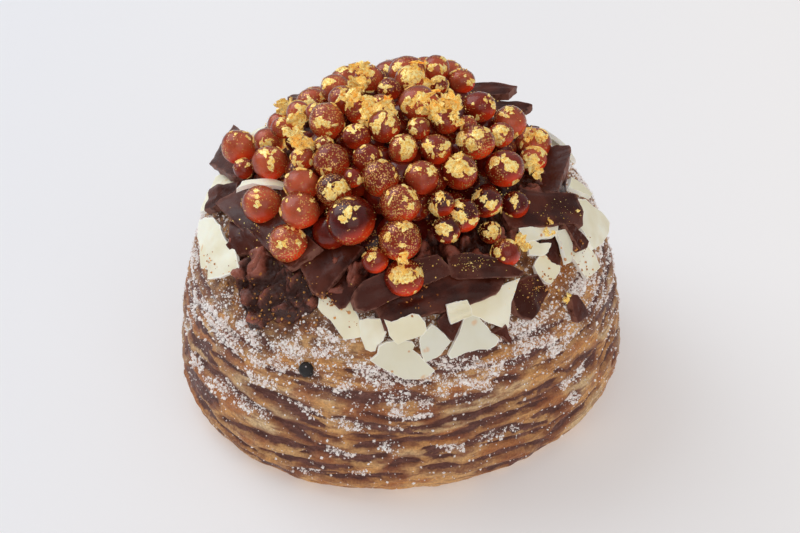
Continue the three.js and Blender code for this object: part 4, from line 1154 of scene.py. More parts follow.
def tinted(shade, mask, strong, tint):
    """The shade, mixed towards a tint by a mask times how strong it is."""
    return blend(times(mask, strong), shade, tint)


def stretch(value, low, high, start=0.0, end=1.0):
    """Maps a value from low to high onto start to end, smoothly and within them."""
    inputs = {"Value": value, "From Min": low, "From Max": high, "To Min": start, "To Max": end}
    return node(value.id_data, "ShaderNodeMapRange", inputs, interpolation_type="SMOOTHSTEP").outputs[0]


def place(tree):
    return node(tree, "ShaderNodeTexCoord").outputs["Object"]


def cloud(tree, millimetres, detail=3.0, roughness=0.55, at=None):
    """Noise whose features are about so many millimetres wide."""
    at = at or place(tree)
    inputs = {"Vector": at, "Scale": 1000 / millimetres, "Detail": detail, "Roughness": roughness}
    return node(tree, "ShaderNodeTexNoise", inputs).outputs["Fac"]


def named(tree, name):
    return node(tree, "ShaderNodeAttribute", attribute_name=name, attribute_type="GEOMETRY").outputs["Fac"]


def new_group(name, inputs, outputs):
    """An empty shader node group with named sockets, and the sockets of its input and output nodes."""
    tree = bpy.data.node_groups.new(name, "ShaderNodeTree")
    for label, value in inputs.items():
        socket = tree.interface.new_socket(label, in_out="INPUT", socket_type="NodeSocketFloat")
        socket.default_value = value
    for label, kind in outputs.items():
        tree.interface.new_socket(label, in_out="OUTPUT", socket_type=kind)
    return tree, tree.nodes.new("NodeGroupInput").outputs, tree.nodes.new("NodeGroupOutput").inputs


def mottle_group():
    """Soft patches: noise of a given number of features a metre, stretched between two levels."""
    inputs = {"Scale": 500.0, "Low": 0.4, "High": 0.6}
    tree, given, put = new_group("Mottle", inputs, {"Mask": "NodeSocketFloat"})
    patches = node(tree, "ShaderNodeTexNoise", {"Vector": place(tree), "Scale": given["Scale"], "Detail": 3})
    tree.links.new(stretch(patches.outputs["Fac"], given["Low"], given["High"]), put["Mask"])


def specks_group():
    """Scattered specks with soft edges: Voronoi cells, of which a share holds a spot of a given size."""
    inputs = {"Scale": 1500.0, "Spot": 0.3, "Share": 0.2}
    tree, given, put = new_group("Specks", inputs, {"Mask": "NodeSocketFloat"})
    inputs = {"Vector": place(tree), "Scale": given["Scale"], "Randomness": 1.0}
    cells = node(tree, "ShaderNodeTexVoronoi", inputs).outputs
    spot = stretch(cells["Distance"], given["Spot"], times(given["Spot"], 0.6))
    chosen = node(tree, "ShaderNodeSeparateColor", {"Color": cells["Color"]}).outputs["Red"]
    tree.links.new(times(spot, maths("LESS_THAN", chosen, given["Share"])), put["Mask"])


def grain_group():
    """A rough grain for the surface: fine noise, as a height and turned into a normal."""
    inputs = {"Scale": 2500.0, "Strength": 0.4, "Depth": 0.0002}
    outputs = {"Normal": "NodeSocketVector", "Height": "NodeSocketFloat"}
    tree, given, put = new_group("Grain", inputs, outputs)
    inputs = {"Vector": place(tree), "Scale": given["Scale"], "Detail": 4.0, "Roughness": 0.65}
    fine = node(tree, "ShaderNodeTexNoise", inputs).outputs["Fac"]
    inputs = {"Strength": given["Strength"], "Distance": given["Depth"], "Height": fine}
    tree.links.new(node(tree, "ShaderNodeBump", inputs).outputs[0], put["Normal"])
    tree.links.new(fine, put["Height"])


GROUPS = {"Mottle": mottle_group, "Specks": specks_group, "Grain": grain_group}


def use(tree, group, **values):
    """Places a shared group, built when first asked for, with its own values, and gives its outputs."""
    if group not in bpy.data.node_groups:
        GROUPS[group]()
    made = node(tree, "ShaderNodeGroup", node_tree=bpy.data.node_groups[group])
    fill(made.inputs, values)
    return made.outputs


def mottle(tree, scale, low, high):
    return use(tree, "Mottle", Scale=scale, Low=low, High=high)["Mask"]


def specks(tree, scale, spot, share):
    return use(tree, "Specks", Scale=scale, Spot=spot, Share=share)["Mask"]


def grain(tree, scale, strong, depth):
    return use(tree, "Grain", Scale=scale, Strength=strong, Depth=depth)["Normal"]


def new_material(name):
    """A material with only a Principled BSDF and its output, the tree to build in and the shader's inputs."""
    material = bpy.data.materials.new(name)
    material.use_nodes = True
    tree = material.node_tree
    tree.nodes.clear()
    shader = tree.nodes.new("ShaderNodeBsdfPrincipled")
    output = tree.nodes.new("ShaderNodeOutputMaterial")
    tree.links.new(shader.outputs[0], output.inputs["Surface"])
    return material, tree, shader.inputs


def dough_material(look):
    """Baked dough: chocolate streaks where the streak attribute is below zero, a red-brown halo round them,
    plain dough in paler and more golden bands with fine fibres along the layers, toasted patches, a darker
    shoulder, brown under the cream, a drop of glaze, and a thin film and a frost of fine sugar."""
    material, tree, shader = new_material("baked_dough")
    at = node(tree, "ShaderNodeSeparateXYZ", {"Vector": place(tree)}).outputs
    rise = times(named(tree, "rise"), 0.001)
    drawn = {"X": times(at["X"], 0.2), "Y": times(at["Y"], 0.2), "Z": rise}
    along = node(tree, "ShaderNodeCombineXYZ", drawn).outputs[0]
    fibres = cloud(tree, 0.9, 4, 0.6, along)
    bands = cloud(tree, 3.2, 2, 0.5, along)
    edge = maths("ADD", named(tree, "streak"), swing(cloud(tree, 1.1, 5, 0.65), 0.85))
    edge = maths("ADD", edge, swing(fibres, 1.15))
    halo = times(stretch(edge, 2, 0.1), stretch(cloud(tree, 7, 2), 0.36, 0.6, 0.25, 1))
    plain = blend(stretch(bands, 0.38, 0.62), tone(241, 178, 105), look.plain)
    plain = tinted(plain, named(tree, "pale"), 0.8, tone(252, 223, 172))
    plain = tinted(plain, stretch(fibres, 0.55, 0.36), 0.7, tone(156, 94, 60))
    toasty = maths("MAXIMUM", named(tree, "toast"), mottle(tree, 150, 0.55, 0.68))
    plain = tinted(plain, toasty, 0.8, look.toasted)
    plain = tinted(plain, halo, 0.85, tone(138, 74, 50))
    brown = blend(stretch(fibres, 0.4, 0.62), look.chocolate, tone(132, 82, 70))
    baked = blend(stretch(edge, 0.2, -0.2), plain, brown)
    upper = times(named(tree, "shoulder"), stretch(cloud(tree, 2.6, 4), 0.4, 0.6, 0.15, 0.95))
    baked = blend(upper, baked, tone(110, 64, 46))
    baked = tinted(baked, named(tree, "smear"), 0.45, tone(96, 52, 34))
    baked = tinted(baked, named(tree, "glaze"), 0.9, tone(190, 112, 26))
    crumb = times(mottle(tree, 2200, 0.35, 0.65), 0.35)
    baked = blend(crumb, baked, tone(150, 100, 70), "MULTIPLY")
    film = times(named(tree, "frost"), stretch(cloud(tree, 1.8, 4), 0.4, 0.62))
    baked = tinted(baked, film, 0.3, tone(226, 200, 184))
    frost = specks(tree, 2300, 0.5, named(tree, "frost"))
    baked = tinted(baked, frost, 0.65, tone(242, 232, 224))
    rough = stretch(cloud(tree, 2.4), 0.35, 0.65, 0.34, 0.62)
    crust = use(tree, "Grain", Scale=1100, Strength=0.9, Depth=0.0005)["Height"]
    height = maths("ADD", crust, times(fibres, 1.4))
    bump = node(tree, "ShaderNodeBump", {"Strength": 0.9, "Distance": 0.0005, "Height": height})
    fill(shader, {
        "Base Color": baked, "Normal": bump.outputs[0],
        "Roughness": maths("SUBTRACT", rough, times(named(tree, "glaze"), 0.28)),
    })
    return material


def sugar_material():
    """Sugar crystals: white, each with its own shade, in patches tinted warm as painted light from the dough
    that shines through, and with a faint painted glow.
    """
    material, tree, shader = new_material("sugar_crystals")
    shade = blend(named(tree, "grain"), tone(232, 220, 216), tone(255, 253, 250))
    fill(shader, {
        # The warm tint is painted light from the dough beneath.
        "Base Color": tinted(shade, mottle(tree, 350, 0.5, 0.7), 0.22, tone(246, 218, 196)),
        # The emission is a painted glow that brightens the crystals.
        "Emission Color": shade, "Emission Strength": 0.1, "Roughness": 0.25,
        "Subsurface Weight": 0.4, "Subsurface Radius": (0.0009, 0.0008, 0.0008),
    })
    return material


def cream_material(look):
    """Chocolate cream: brown, lighter on its clods and darker in its folds as painted shade, with gold specks
    and orange crumbs.
    """
    material, tree, shader = new_material("chocolate_cream")
    deep = maths("ADD", named(tree, "clod"), swing(cloud(tree, 1), 0.7))
    # Painted shade: the folds between the clods are drawn dark brown.
    shade = blend(stretch(deep, 0.2, 0.95), tone(62, 25, 14), look.cream)
    shade = tinted(shade, specks(tree, 700, 0.3, 0.012), 0.8, tone(206, 128, 52))
    gold = specks(tree, 1700, 0.34, 0.02)
    fill(shader, {
        "Base Color": blend(gold, shade, tone(255, 212, 120)), "Metallic": times(gold, 0.5),
        "Roughness": stretch(cloud(tree, 1.2), 0.35, 0.65, 0.16, 0.42),
        "Normal": grain(tree, 1300, 0.7, 0.0004), "Specular IOR Level": 0.35,
    })
    return material


def dark_material(look):
    """Dark chocolate: satin brown, some shards lighter, a paler and rougher broken rim with a painted
    highlight along its very edge, and gold dust.
    """
    material, tree, shader = new_material("dark_chocolate")
    rim = named(tree, "rim")
    shade = blend(mottle(tree, 220, 0.38, 0.64), look.dark, tone(92, 42, 28))
    shade = blend(stretch(named(tree, "shard"), 0.3, 0.9, 0, 0.7), shade, tone(80, 36, 26))
    worn = times(stretch(rim, 0.55, 0.98), stretch(cloud(tree, 1), 0.36, 0.58))
    shade = tinted(shade, worn, 0.85, tone(126, 80, 66))
    # Painted highlight: a light line along the very edge of the rim.
    lit = times(stretch(rim, 0.955, 1), stretch(cloud(tree, 2), 0.34, 0.6))
    shade = tinted(shade, lit, 0.7, tone(150, 102, 88))
    gold = specks(tree, 1400, 0.27, 0.014)
    patchy = maths("ADD", worn, stretch(cloud(tree, 3), 0.35, 0.7))
    fill(shader, {
        "Base Color": blend(gold, shade, tone(255, 212, 120)), "Metallic": times(gold, 0.5),
        "Roughness": stretch(patchy, 0, 1.4, 0.22, 0.52),
        "Normal": grain(tree, 900, 0.3, 0.0003), "Specular IOR Level": 0.2,
    })
    return material


def white_material(look):
    """White chocolate: ivory, some shards creamier, some greyer as painted shade, lighter rims, small toasted
    specks, and a faint painted glow.
    """
    material, tree, shader = new_material("white_chocolate")
    own = named(tree, "shard")
    shade = blend(mottle(tree, 130, 0.36, 0.64), look.white, tone(236, 228, 198))
    shade = blend(stretch(own, 0.2, 1, 0, 0.5), shade, tone(238, 228, 190))
    # Painted shade: some shards are drawn greyer, as if lying in shadow.
    shaded_grey = stretch(maths("PINGPONG", times(own, 5), 1), 0.5, 1)
    shade = tinted(shade, shaded_grey, 0.7, tone(218, 218, 204))
    shade = blend(stretch(named(tree, "rim"), 0.7, 1, 0, 0.8), shade, tone(254, 252, 242))
    stain = times(specks(tree, 230, 0.26, 0.2), stretch(cloud(tree, 1.4), 0.38, 0.56))
    shade = tinted(shade, stain, 0.5, tone(226, 160, 84))
    shade = tinted(shade, specks(tree, 650, 0.28, 0.06), 0.85, tone(204, 134, 60))
    fill(shader, {
        # The emission is a painted glow.
        "Base Color": shade, "Emission Color": shade, "Emission Strength": 0.1,
        "Roughness": stretch(cloud(tree, 2), 0.3, 0.7, 0.36, 0.55),
        "Normal": grain(tree, 700, 0.18, 0.0003), "Specular IOR Level": 0.35,
        "Subsurface Weight": 0.25, "Subsurface Radius": (0.001, 0.0009, 0.0006),
    })
    return material


def jelly_material(look):
    """Jelly pearls: red-brown, with painted shade deeper towards the outline as the camera sees it, a painted
    red-orange glow of light on the rim below that is also emitted, wet, with gold dust in patches."""
    material, tree, shader = new_material("jelly")
    jelly = named(tree, "jelly")
    shade = blend(stretch(jelly, 0.5, 1), look.jelly, tone(206, 98, 62))
    shade = blend(stretch(jelly, 0.5, 0), shade, tone(72, 9, 6))
    shade = tinted(shade, mottle(tree, 300, 0.38, 0.66), 0.4, tone(112, 24, 12))
    # Painted shade: deeper red towards the outline, by how the surface faces the camera.
    facing = node(tree, "ShaderNodeLayerWeight", {"Blend": 0.5}).outputs["Facing"]
    shade = blend(stretch(facing, 0.25, 0.85, 0, 0.75), shade, tone(96, 12, 5))
    # Painted light: the lower rim glows red-orange, in the base colour and in the emission.
    glow = times(named(tree, "glow"), stretch(cloud(tree, 7, 1), 0.35, 0.6, 0.35, 1))
    shade = blend(glow, shade, look.glow)
    patches = times(mottle(tree, 230, 0.46, 0.62), 0.5)
    patches = maths("ADD", patches, times(named(tree, "dust"), 0.55))
    dust = specks(tree, 3000, 0.5, patches)
    lit = blend(glow, (0, 0, 0), look.glow)
    fill(shader, {
        "Base Color": blend(dust, shade, tone(240, 184, 108)), "Metallic": times(dust, 0.5),
        "Roughness": stretch(cloud(tree, 1.6), 0.35, 0.7, 0.2, 0.4),
        "Normal": grain(tree, 1100, 0.1, 0.0003),
        "Emission Color": blend(dust, lit, (0, 0, 0)), "Emission Strength": 0.2,
        "Subsurface Weight": 0.5, "Subsurface Radius": (0.0026, 0.0006, 0.0003),
        "Coat Weight": 0.3, "Coat Roughness": 0.14, "IOR": 1.33,
    })
    return material


def leaf_material(look):
    """Gold leaf: bright metal with painted highlights and painted shade of creases in random patches, and a
    faint painted glow, torn into ragged bits where noise and the edge value let the pearl show."""
    material, tree, shader = new_material("gold_leaf")
    # Painted highlight: paler gold in random patches.
    shade = blend(mottle(tree, 1600, 0.35, 0.65), look.gold, tone(255, 236, 160))
    # Painted shade: darker orange creases at random.
    shade = tinted(shade, stretch(cloud(tree, 0.5, 4), 0.46, 0.34), 0.8, tone(186, 126, 48))
    torn = maths("SUBTRACT", cloud(tree, 1, 5, 0.6), times(named(tree, "edge"), 0.32))
    fill(shader, {
        # The emission is a painted glow.
        "Base Color": shade, "Emission Color": shade, "Emission Strength": 0.2, "Metallic": 0.55,
        "Roughness": stretch(cloud(tree, 0.7), 0.3, 0.7, 0.22, 0.42),
        "Normal": grain(tree, 2200, 0.8, 0.0003), "Alpha": maths("GREATER_THAN", torn, 0.2),
    })
    return material


def crumb_material():
    """Toasted crumbs: orange to brown, each with its own shade."""
    material, tree, shader = new_material("toasted_crumbs")
    shade = blend(named(tree, "grain"), tone(150, 84, 36), tone(238, 168, 84))
    fill(shader, {"Base Color": shade, "Roughness": 0.5})
    return material


def burnt_material():
    """A burnt black speck with a little sugar on it."""
    material, tree, shader = new_material("burnt_sugar")
    shade = blend(specks(tree, 1900, 0.36, 0.16), tone(22, 19, 21), tone(190, 180, 184))
    fill(shader, {"Base Color": shade, "Roughness": 0.45, "Normal": grain(tree, 1500, 0.8, 0.0004)})
    return material


def floor_material(look):
    """A plain pale floor with the faintest unevenness, with painted shade cooler at the left, painted light
    at the right, and a warm painted glow that lifts the shadows.
    """
    material, tree, shader = new_material("pale_floor")
    shade = blend(mottle(tree, 4, 0.3, 0.7), look.floor, tuple(v * 0.99 for v in look.floor))
    across = node(tree, "ShaderNodeSeparateXYZ", {"Vector": place(tree)}).outputs["X"]
    # Painted shade at the left and painted light at the right.
    shade = blend(stretch(across, -0.03, -0.12), shade, tone(196, 201, 210))
    shade = blend(stretch(across, 0.02, 0.12), shade, tone(214, 215, 218))
    fill(shader, {
        "Base Color": shade, "Roughness": 0.7,
        # The warm emission is painted light: it lifts the shadows and lights the doughnut from below.
        "Emission Color": (*tone(232, 221, 212), 1), "Emission Strength": 0.4,
    })
    return material


def dough_surface(look):
    """The dough's points, faces and named values: rows up the outline that go round, over a flat sole."""
    turn = all_round(540)
    run = np.concatenate([np.arange(0, 50, 0.31), np.linspace(50.5, WHOLE_RUN - 0.5, 13)])[:, None]
    grid = on_drum(turn, run, dough_lift(turn, run, look.relief * 1000))
    grid[0, :, 2] = 0
    sole = np.array([on_drum(turn[0], 0.0) * np.array([k, k, 0]) for k in (0.3, 0.6, 0.8, 0.95)])
    points, faces = capped_rows([0, 0, 0], np.concatenate([sole, grid]), on_drum(0.0, WHOLE_RUN))
    turn, run = np.broadcast_arrays(turn, run)
    degrees = np.degrees(np.arctan2(np.sin(turn), np.cos(turn)))
    reach = run_at_radius(cream_reach(turn))
    softness = rumple(unrolled(turn, run), 3.0, 52, 2)
    fields = {
        "streak": streak_distance(turn, run, look.streak * 1000),
        "frost": sugar_cover(turn, run),
        "toast": fade(-beside_strokes(turn, run, ALL_TOASTED) + softness, -1.2, 0.8),
        "pale": fade(-beside_strokes(turn, run, ALL_PALE) + softness, -1.2, 0.6),
        "smear": fade(run, reach - 5.5, reach - 1) * bell(degrees, -122, 26),
        "glaze": np.exp(-(((degrees + 36) / 8) ** 2) - ((run - 42) / 4.5) ** 2),
        "shoulder": fade(run, 30, 40),
        "rise": run,
    }
    values = {}
    for key, value in fields.items():
        under = np.repeat(value[:1], len(sole), axis=0)
        values[key] = capped_values(value[0, 0], np.concatenate([under, value]), value[-1, 0])
    return points, faces, values


def burnt_ball():
    """The burnt speck's points and faces: a ball whose reach is rumpled by noise."""
    ways = ball_ways(40, 24)
    reach = 1.3 + 0.3 * rumple(ways + 2, 0.9, 71)
    return ball(on_drum(math.radians(-113), 31.3, 0.35) + ways * reach[..., None])


def cream_surface():
    """The cream's points, faces and clod value: an upper skin lifted by waves, clods and crags, over a lower
    one just clear of the dough. The value grows from 0 in the folds to 1 on the clods; the material darkens
    the folds by it as painted shade."""
    turn = all_round(600)
    torn = 0.8 * rumple(unrolled(turn, 0.0), 3.8, 41, 3) - 0.5
    outward = np.linspace(0.02, 1, 84)[:, None]
    run = WHOLE_RUN + (run_at_radius(cream_reach(turn) + torn) - WHOLE_RUN) * outward
    share = np.minimum(1, np.interp(run, RUN, OUTLINE[:, 0]) / cream_reach(turn))
    skin = on_drum(turn, run)
    lumps = np.sin(7 * turn + 5 * share) * np.cos(4 * turn - 9 * share + 1)
    lift = CREAM_CLEAR + CREAM_THICK * (1 - share ** 4) + 2.4 * lumps * share * (1 - share) + 1.1
    bent = skin + 1.2 * np.stack([rumple(skin, 2.6, 46 + k, 2) for k in range(3)], -1)
    big, small = fade(clods(bent, 4.6, 42), 0.02, 0.55), fade(clods(bent, 1.9, 43), 0.0, 0.5)
    crags = 0.5 * np.abs(rumple(skin, 1.6, 44, 3)) + 0.35 * noise(skin, 0.7, 47, smooth=False)
    lift = lift + fade(share, 0.45, 0.75) * (1.9 * big + 0.8 * small + crags - 1.9)
    rim = fade(outward, 0.95, 1.0)
    upper = on_drum(turn, run, lift * (1 - rim) + 0.4 * rim)
    lower = on_drum(turn, run, 0.25)
    rows = np.concatenate([lower[::9], lower[-1:], upper[::-1]])
    depth = 0.62 * big + 0.38 * small
    depth = np.concatenate([np.zeros((len(rows) - len(depth), depth.shape[1])), depth[::-1]])
    tops = [on_drum(0.0, WHOLE_RUN, lifted) for lifted in (0.25, CREAM_CLEAR + 2.7)]
    points, faces = capped_rows(tops[0], rows, tops[1])
    return points, faces, {"clod": capped_values(0, depth, 0.5)}


def pearl_parts(look):
    """All pearls as closed surfaces with their values: the heap, painted paler to the left as lit by the
    window, then the second layer, dark with painted shade and with little glow."""
    draw = shaker(9)
    dusted = {seen_on_pearl(x, y)[0] for x, y in DUSTED_PEARLS}
    parts = []
    for index, (middle, radius) in enumerate(zip(PEARLS, PEARL_RADII)):
        shade = draw.uniform(0.35, 0.75)
        if index in DARK_PEARLS:
            shade = 0.05
        if index in PALE_PEARLS or len(MARKED_PEARLS) <= index < len(PEARLS) - len(STRAY_PEARLS):
            shade = 0.9
        # Painted light: pearls to the left are drawn paler, as lit more by the window.
        shade = min(1, shade + 0.3 * fade(-middle[0], 8, 24))
        dust = 1.0 if index in dusted else 0.0
        parts.append(pearl_surface(index, middle, radius, look.lumps, shade, dust))
    for k, (middle, radius) in enumerate(zip(*under_pearls())):
        # Painted shade: the second layer is drawn dark, with its glow cut down, as shaded by the first.
        points, faces, values = pearl_surface(200 + k, middle, radius, look.lumps, 0.2, 0.0, 24, 11)
        parts.append((points, faces, {**values, "glow": 0.35 * values["glow"]}))
    return parts


def heap_core():
    """The core under the pearls: half an ellipsoid that slants as the mound does, with a little noise."""
    up = np.linspace(0.08, 1, 12)[:, None] * math.pi / 2
    turn = all_round(48)
    y = MOUND_Y + CORE_LONG * np.sin(up) * np.sin(turn)
    x = SLANT * y + CORE_WIDE * np.sin(up) * np.cos(turn)
    z = MOUND_FOOT + CORE_RISE * np.cos(up) + 0.4 * noise(points_of(x, y, 0.0), 3, 77)
    ends = [[SLANT * MOUND_Y, MOUND_Y, MOUND_FOOT + rise] for rise in (-0.5, CORE_RISE)]
    return capped_rows(ends[0], points_of(x, y, z)[::-1], ends[1])


def draped_leaf(millimetres, lumps):
    """Leaf on pearls where the photograph shows it, given the millimetres that a pixel covers there."""
    parts = []
    for k, (x, y, wide, high) in enumerate(LEAF_PATCHES):
        index, spot = seen_on_pearl(x, y)
        parts.append(leaf_patch(index, spot, wide * millimetres, high * millimetres, lumps, PATCH_SEED + k))
    return parts


def leaf_scraps(draw, count, lumps):
    """Small scraps of leaf strewn on the pearls, without those that would lie inside another pearl."""
    parts = []
    for k in range(count):
        index = int(draw.integers(0, len(PEARLS)))
        way = draw.normal(size=3) + np.array([0, -0.4, 0.9])
        spot = PEARLS[index] + way / norm(way) * PEARL_RADII[index]
        others = norm(PEARLS - spot, axis=1) - PEARL_RADII
        others[index] = 1
        wide, high = 0.5 + 1.7 * draw.uniform(size=2) ** 2
        if others.min() > 0:
            parts.append(leaf_patch(index, spot, wide, high, lumps, SCRAP_SEED + k, 9, (0.55, 1.0)))
    return parts


def leaf_clumps(draw, millimetres):
    """Clumps of crumpled flakes at their marks, each flake turned at random."""
    parts = []
    for k, (x, y, wide, count) in enumerate(LEAF_CLUMPS):
        spot, normal = seen_on_heap(x, y)
        size = LEAF_SPREAD * wide * millimetres
        turns = random_turns(draw, count)
        offsets = draw.normal(size=(count, 3)) * size * 0.26 + normal * 0.12 * size
        sizes = size * draw.uniform(0.45, 0.9, count)
        for j in range(count):
            parts.append(leaf_flake(spot + offsets[j], sizes[j], turns[j], FLAKE_SEED + 40 * k + j))
    return parts


def speck_places(draw, count):
    """Places of gold specks: in clouds on the upper sides of the pearls, and in the mist marked elsewhere."""
    owner = draw.integers(0, len(PEARLS), count * 2)
    ways = draw.normal(size=(len(owner), 3))
    ways /= norm(ways, axis=1)[:, None]
    ways[:, 2] = np.abs(ways[:, 2])
    middles = PEARLS[owner] + ways * PEARL_RADII[owner][:, None] * np.array([1, 1, 0.95])
    apart = norm(middles[:, None] - PEARLS[None], axis=2) > PEARL_RADII[None] * 0.99
    apart[np.arange(len(owner)), owner] = True
    clumped = rumple(middles, 7, 61) > draw.uniform(-0.5, 0.7, len(owner))
    return np.vstack([middles[apart.all(axis=1) & clumped][:count], strewn(draw, GOLD_MIST)])


class DOUGHNUT_OT_dough(bpy.types.Operator):
    """Makes the baked dough."""

    bl_idname = "doughnut.dough"
    bl_label = "Dough"

    def execute(self, context):
        look = context.scene.doughnut_dough
        piece = whole_mesh("layered_dough", *dough_surface(look))
        finish_piece(piece, "dough", dough_material(look), "dough")
        return {"FINISHED"}


class DOUGHNUT_OT_sugar(bpy.types.Operator):
    """Scatters sugar crystals on the dough, and makes the burnt speck."""

    bl_idname = "doughnut.sugar"
    bl_label = "Sugar"

    def execute(self, context):
        look = context.scene.doughnut_sugar
        relief = context.scene.doughnut_dough.relief * 1000
        material = sugar_material()
        for name, seed, width in (("sugar_crystals", 5, 1.0), ("sugar_dust", 6, 0.62)):
            draw = shaker(seed)
            turn, run = spread_on_drum(draw, look.count, sugar_cover, 2, 55)
            lift = dough_lift(turn, run, relief) + draw.uniform(-0.02, 0.3, len(turn)) * width
            size = look.crystal * 1000 * width * (0.48 + 1.6 * draw.uniform(size=len(turn)) ** 3)
            points, faces = scattered_grains(draw, on_drum(turn, run, lift), size)
            piece = whole_mesh(name, points, faces, own_shades(draw, len(turn)), CRISP)
            finish_piece(piece, "dough", material)
        finish_piece(whole_mesh("burnt_speck", *burnt_ball()), "dough", burnt_material())
        return {"FINISHED"}


class DOUGHNUT_OT_cream(bpy.types.Operator):
    """Makes the chocolate cream on the dough."""

    bl_idname = "doughnut.cream"
    bl_label = "Chocolate cream"

    def execute(self, context):
        look = context.scene.doughnut_chocolate
        piece = whole_mesh("cream_bed", *cream_surface())
        finish_piece(piece, "chocolate_cream", cream_material(look), "chocolate_cream")
        return {"FINISHED"}


class DOUGHNUT_OT_dark(bpy.types.Operator):
    """Breaks the dark chocolate into shards."""

    bl_idname = "doughnut.dark"
    bl_label = "Dark shards"

    def execute(self, context):
        look = context.scene.doughnut_chocolate
        thick = look.dark_thick * 1000
        make_shards("dark_shards", "dark_chocolate", "dark", thick, DARK_SEED, dark_material(look))
        return {"FINISHED"}


class DOUGHNUT_OT_white(bpy.types.Operator):
    """Breaks the white chocolate into shards."""

    bl_idname = "doughnut.white"
    bl_label = "White shards"

    def execute(self, context):
        look = context.scene.doughnut_chocolate
        thick = look.white_thick * 1000
        make_shards("white_shards", "white_chocolate", "white", thick, WHITE_SEED, white_material(look))
        return {"FINISHED"}


class DOUGHNUT_OT_pearls(bpy.types.Operator):
    """Heaps the jelly pearls over their core."""

    bl_idname = "doughnut.pearls"
    bl_label = "Jelly pearls"

    def execute(self, context):
        look = context.scene.doughnut_pearls
        material = jelly_material(look)
        strays = [f"stray_pearl_{i + 1}" for i in range(len(STRAY_PEARLS))]
        piece = whole_mesh("pearl_heap", *joined(pearl_parts(look)))
        finish_piece(piece, "jelly", material, "jelly_pearls", *strays)
        # The core is drawn as dark jelly without glow: painted shade between the pearls.
        core = whole_mesh("heap_core", *heap_core(), {"glow": 0.0, "jelly": 0.1, "dust": 0.0})
        finish_piece(core, "jelly", material)
        return {"FINISHED"}


class DOUGHNUT_OT_leaf(bpy.types.Operator):
    """Lays gold leaf on the pearls, and scatters its specks and toasted crumbs."""

    bl_idname = "doughnut.leaf"
    bl_label = "Gold leaf"

    def execute(self, context):
        look = context.scene.doughnut_leaf
        lumps = context.scene.doughnut_pearls.lumps
        draw = shaker(17)
        context.view_layer.update()
        millimetres = norm(CAMERA_PLACE - PEARLS.mean(axis=0)) * SENSOR / LENS / PICTURE_WIDE
        parts = draped_leaf(millimetres, lumps) + leaf_scraps(draw, look.scraps, lumps)
        parts += leaf_clumps(draw, millimetres)
        material = leaf_material(look)
        finish_piece(whole_mesh("gold_leaf", *joined(parts), crease=50), "jelly", material)
        middles = speck_places(draw, look.specks)
        size = 0.12 + 0.3 * draw.uniform(size=len(middles)) ** 3
        points, faces = scattered_grains(draw, middles, size, 0.4)
        finish_piece(whole_mesh("gold_specks", points, faces, {"edge": 0.0}, CRISP), "jelly", material)
        middles = strewn(draw, CRUMBS)
        size = 0.25 + 0.55 * draw.uniform(size=len(middles)) ** 2
        points, faces = scattered_grains(draw, middles, size, 0.7)
        crumbs = whole_mesh("toasted_crumbs", points, faces, own_shades(draw, len(middles)), CRISP)
        finish_piece(crumbs, "dough", crumb_material())
        return {"FINISHED"}


def add_object(name, data):
    """An object for a light, a camera or a mesh, linked into the scene."""
    made = bpy.data.objects.new(name, data)
    bpy.context.scene.collection.objects.link(made)
    return made


def add_light(name, place_at, target, size, watts, tint):
    """A square area light at a place, turned towards a target."""
    lamp = bpy.data.lights.new(name, "AREA")
    lamp.size = size
    lamp.energy = watts
    lamp.color = tint
    made = add_object(name, lamp)
    made.location = place_at
    made.rotation_euler = (Vector(target) - Vector(place_at)).to_track_quat("-Z", "Y").to_euler()


def soft_room(strong):
    """The light all round: warm and dim from below, cool and bright from above and from behind."""
    world = bpy.data.worlds.new("soft_room")
    world.use_nodes = True
    tree = world.node_tree
    way = node(tree, "ShaderNodeTexCoord").outputs["Generated"]
    apart = node(tree, "ShaderNodeSeparateXYZ", {"Vector": way}).outputs
    bright = stretch(maths("ADD", apart["Z"], times(apart["Y"], 0.35)), -0.3, 0.9)
    shade = blend(bright, (0.5, 0.45, 0.42), (0.95, 0.97, 1.0))
    fill(tree.nodes["Background"].inputs, {"Color": shade, "Strength": strong})
    return world


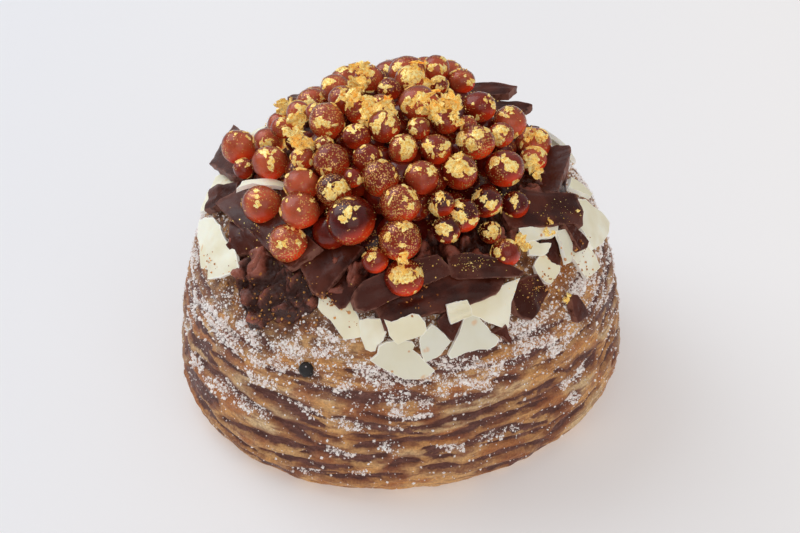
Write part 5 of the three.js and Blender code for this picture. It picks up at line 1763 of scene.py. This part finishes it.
class DOUGHNUT_OT_stage(bpy.types.Operator):
    """Sets the floor, the lights and the camera."""

    bl_idname = "doughnut.stage"
    bl_label = "Stage"

    def execute(self, context):
        look = context.scene.doughnut_stage
        scene = context.scene
        mesh = bpy.data.meshes.new("floor")
        mesh.from_pydata([(-4, -4, 0), (4, -4, 0), (4, 4, 0), (-4, 4, 0)], [], [(0, 1, 2, 3)])
        mesh.materials.append(floor_material(look))
        add_object("floor", mesh)
        add_light("window", (-0.56, 0.32, 0.7), (0, 0, 0.03), 0.8, look.key, (0.88, 0.95, 1.0))
        add_light("fill", (0.3, -0.9, 0.66), (0, 0, 0.02), 1.0, look.key * 0.68, (1.0, 0.94, 0.88))
        scene.world = soft_room(look.room)
        camera = add_object("camera", bpy.data.cameras.new("camera"))
        camera.data.lens = LENS
        camera.data.sensor_width = SENSOR
        camera.data.clip_start = 0.01
        camera.location = CAMERA_PLACE / 1000
        camera.rotation_euler = (math.radians(90 - CAMERA_TILT), 0, 0)
        scene.camera = camera
        scene.view_settings.view_transform = "Standard"
        return {"FINISHED"}


PIECES = [
    DOUGHNUT_OT_dough, DOUGHNUT_OT_sugar, DOUGHNUT_OT_cream, DOUGHNUT_OT_dark, DOUGHNUT_OT_white,
    DOUGHNUT_OT_pearls, DOUGHNUT_OT_leaf, DOUGHNUT_OT_stage,
]
SETTINGS = {
    "doughnut_dough": DoughSettings, "doughnut_sugar": SugarSettings, "doughnut_chocolate": ChocolateSettings,
    "doughnut_pearls": PearlSettings, "doughnut_leaf": LeafSettings, "doughnut_stage": StageSettings,
}


class DOUGHNUT_PT_panel(bpy.types.Panel):
    """Lists the doughnut's pieces and their settings."""

    bl_label = "Layered Doughnut"
    bl_space_type = "VIEW_3D"
    bl_region_type = "UI"
    bl_category = "Doughnut"

    def draw(self, context):
        for name, group in SETTINGS.items():
            box = self.layout.box()
            for key in group.__annotations__:
                box.prop(getattr(context.scene, name), key)
        for piece in PIECES:
            self.layout.operator(piece.bl_idname)


def register():
    for group in SETTINGS.values():
        bpy.utils.register_class(group)
    for name, group in SETTINGS.items():
        setattr(bpy.types.Scene, name, PointerProperty(type=group))
    for made in (*PIECES, DOUGHNUT_PT_panel):
        bpy.utils.register_class(made)


def unregister():
    for made in (DOUGHNUT_PT_panel, *reversed(PIECES)):
        bpy.utils.unregister_class(made)
    for name, group in SETTINGS.items():
        delattr(bpy.types.Scene, name)
        bpy.utils.unregister_class(group)


def main():
    """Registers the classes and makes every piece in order."""
    register()
    bpy.ops.doughnut.dough()
    bpy.ops.doughnut.sugar()
    bpy.ops.doughnut.cream()
    bpy.ops.doughnut.dark()
    bpy.ops.doughnut.white()
    bpy.ops.doughnut.pearls()
    bpy.ops.doughnut.leaf()
    bpy.ops.doughnut.stage()


if __name__ == "__main__":
    main()
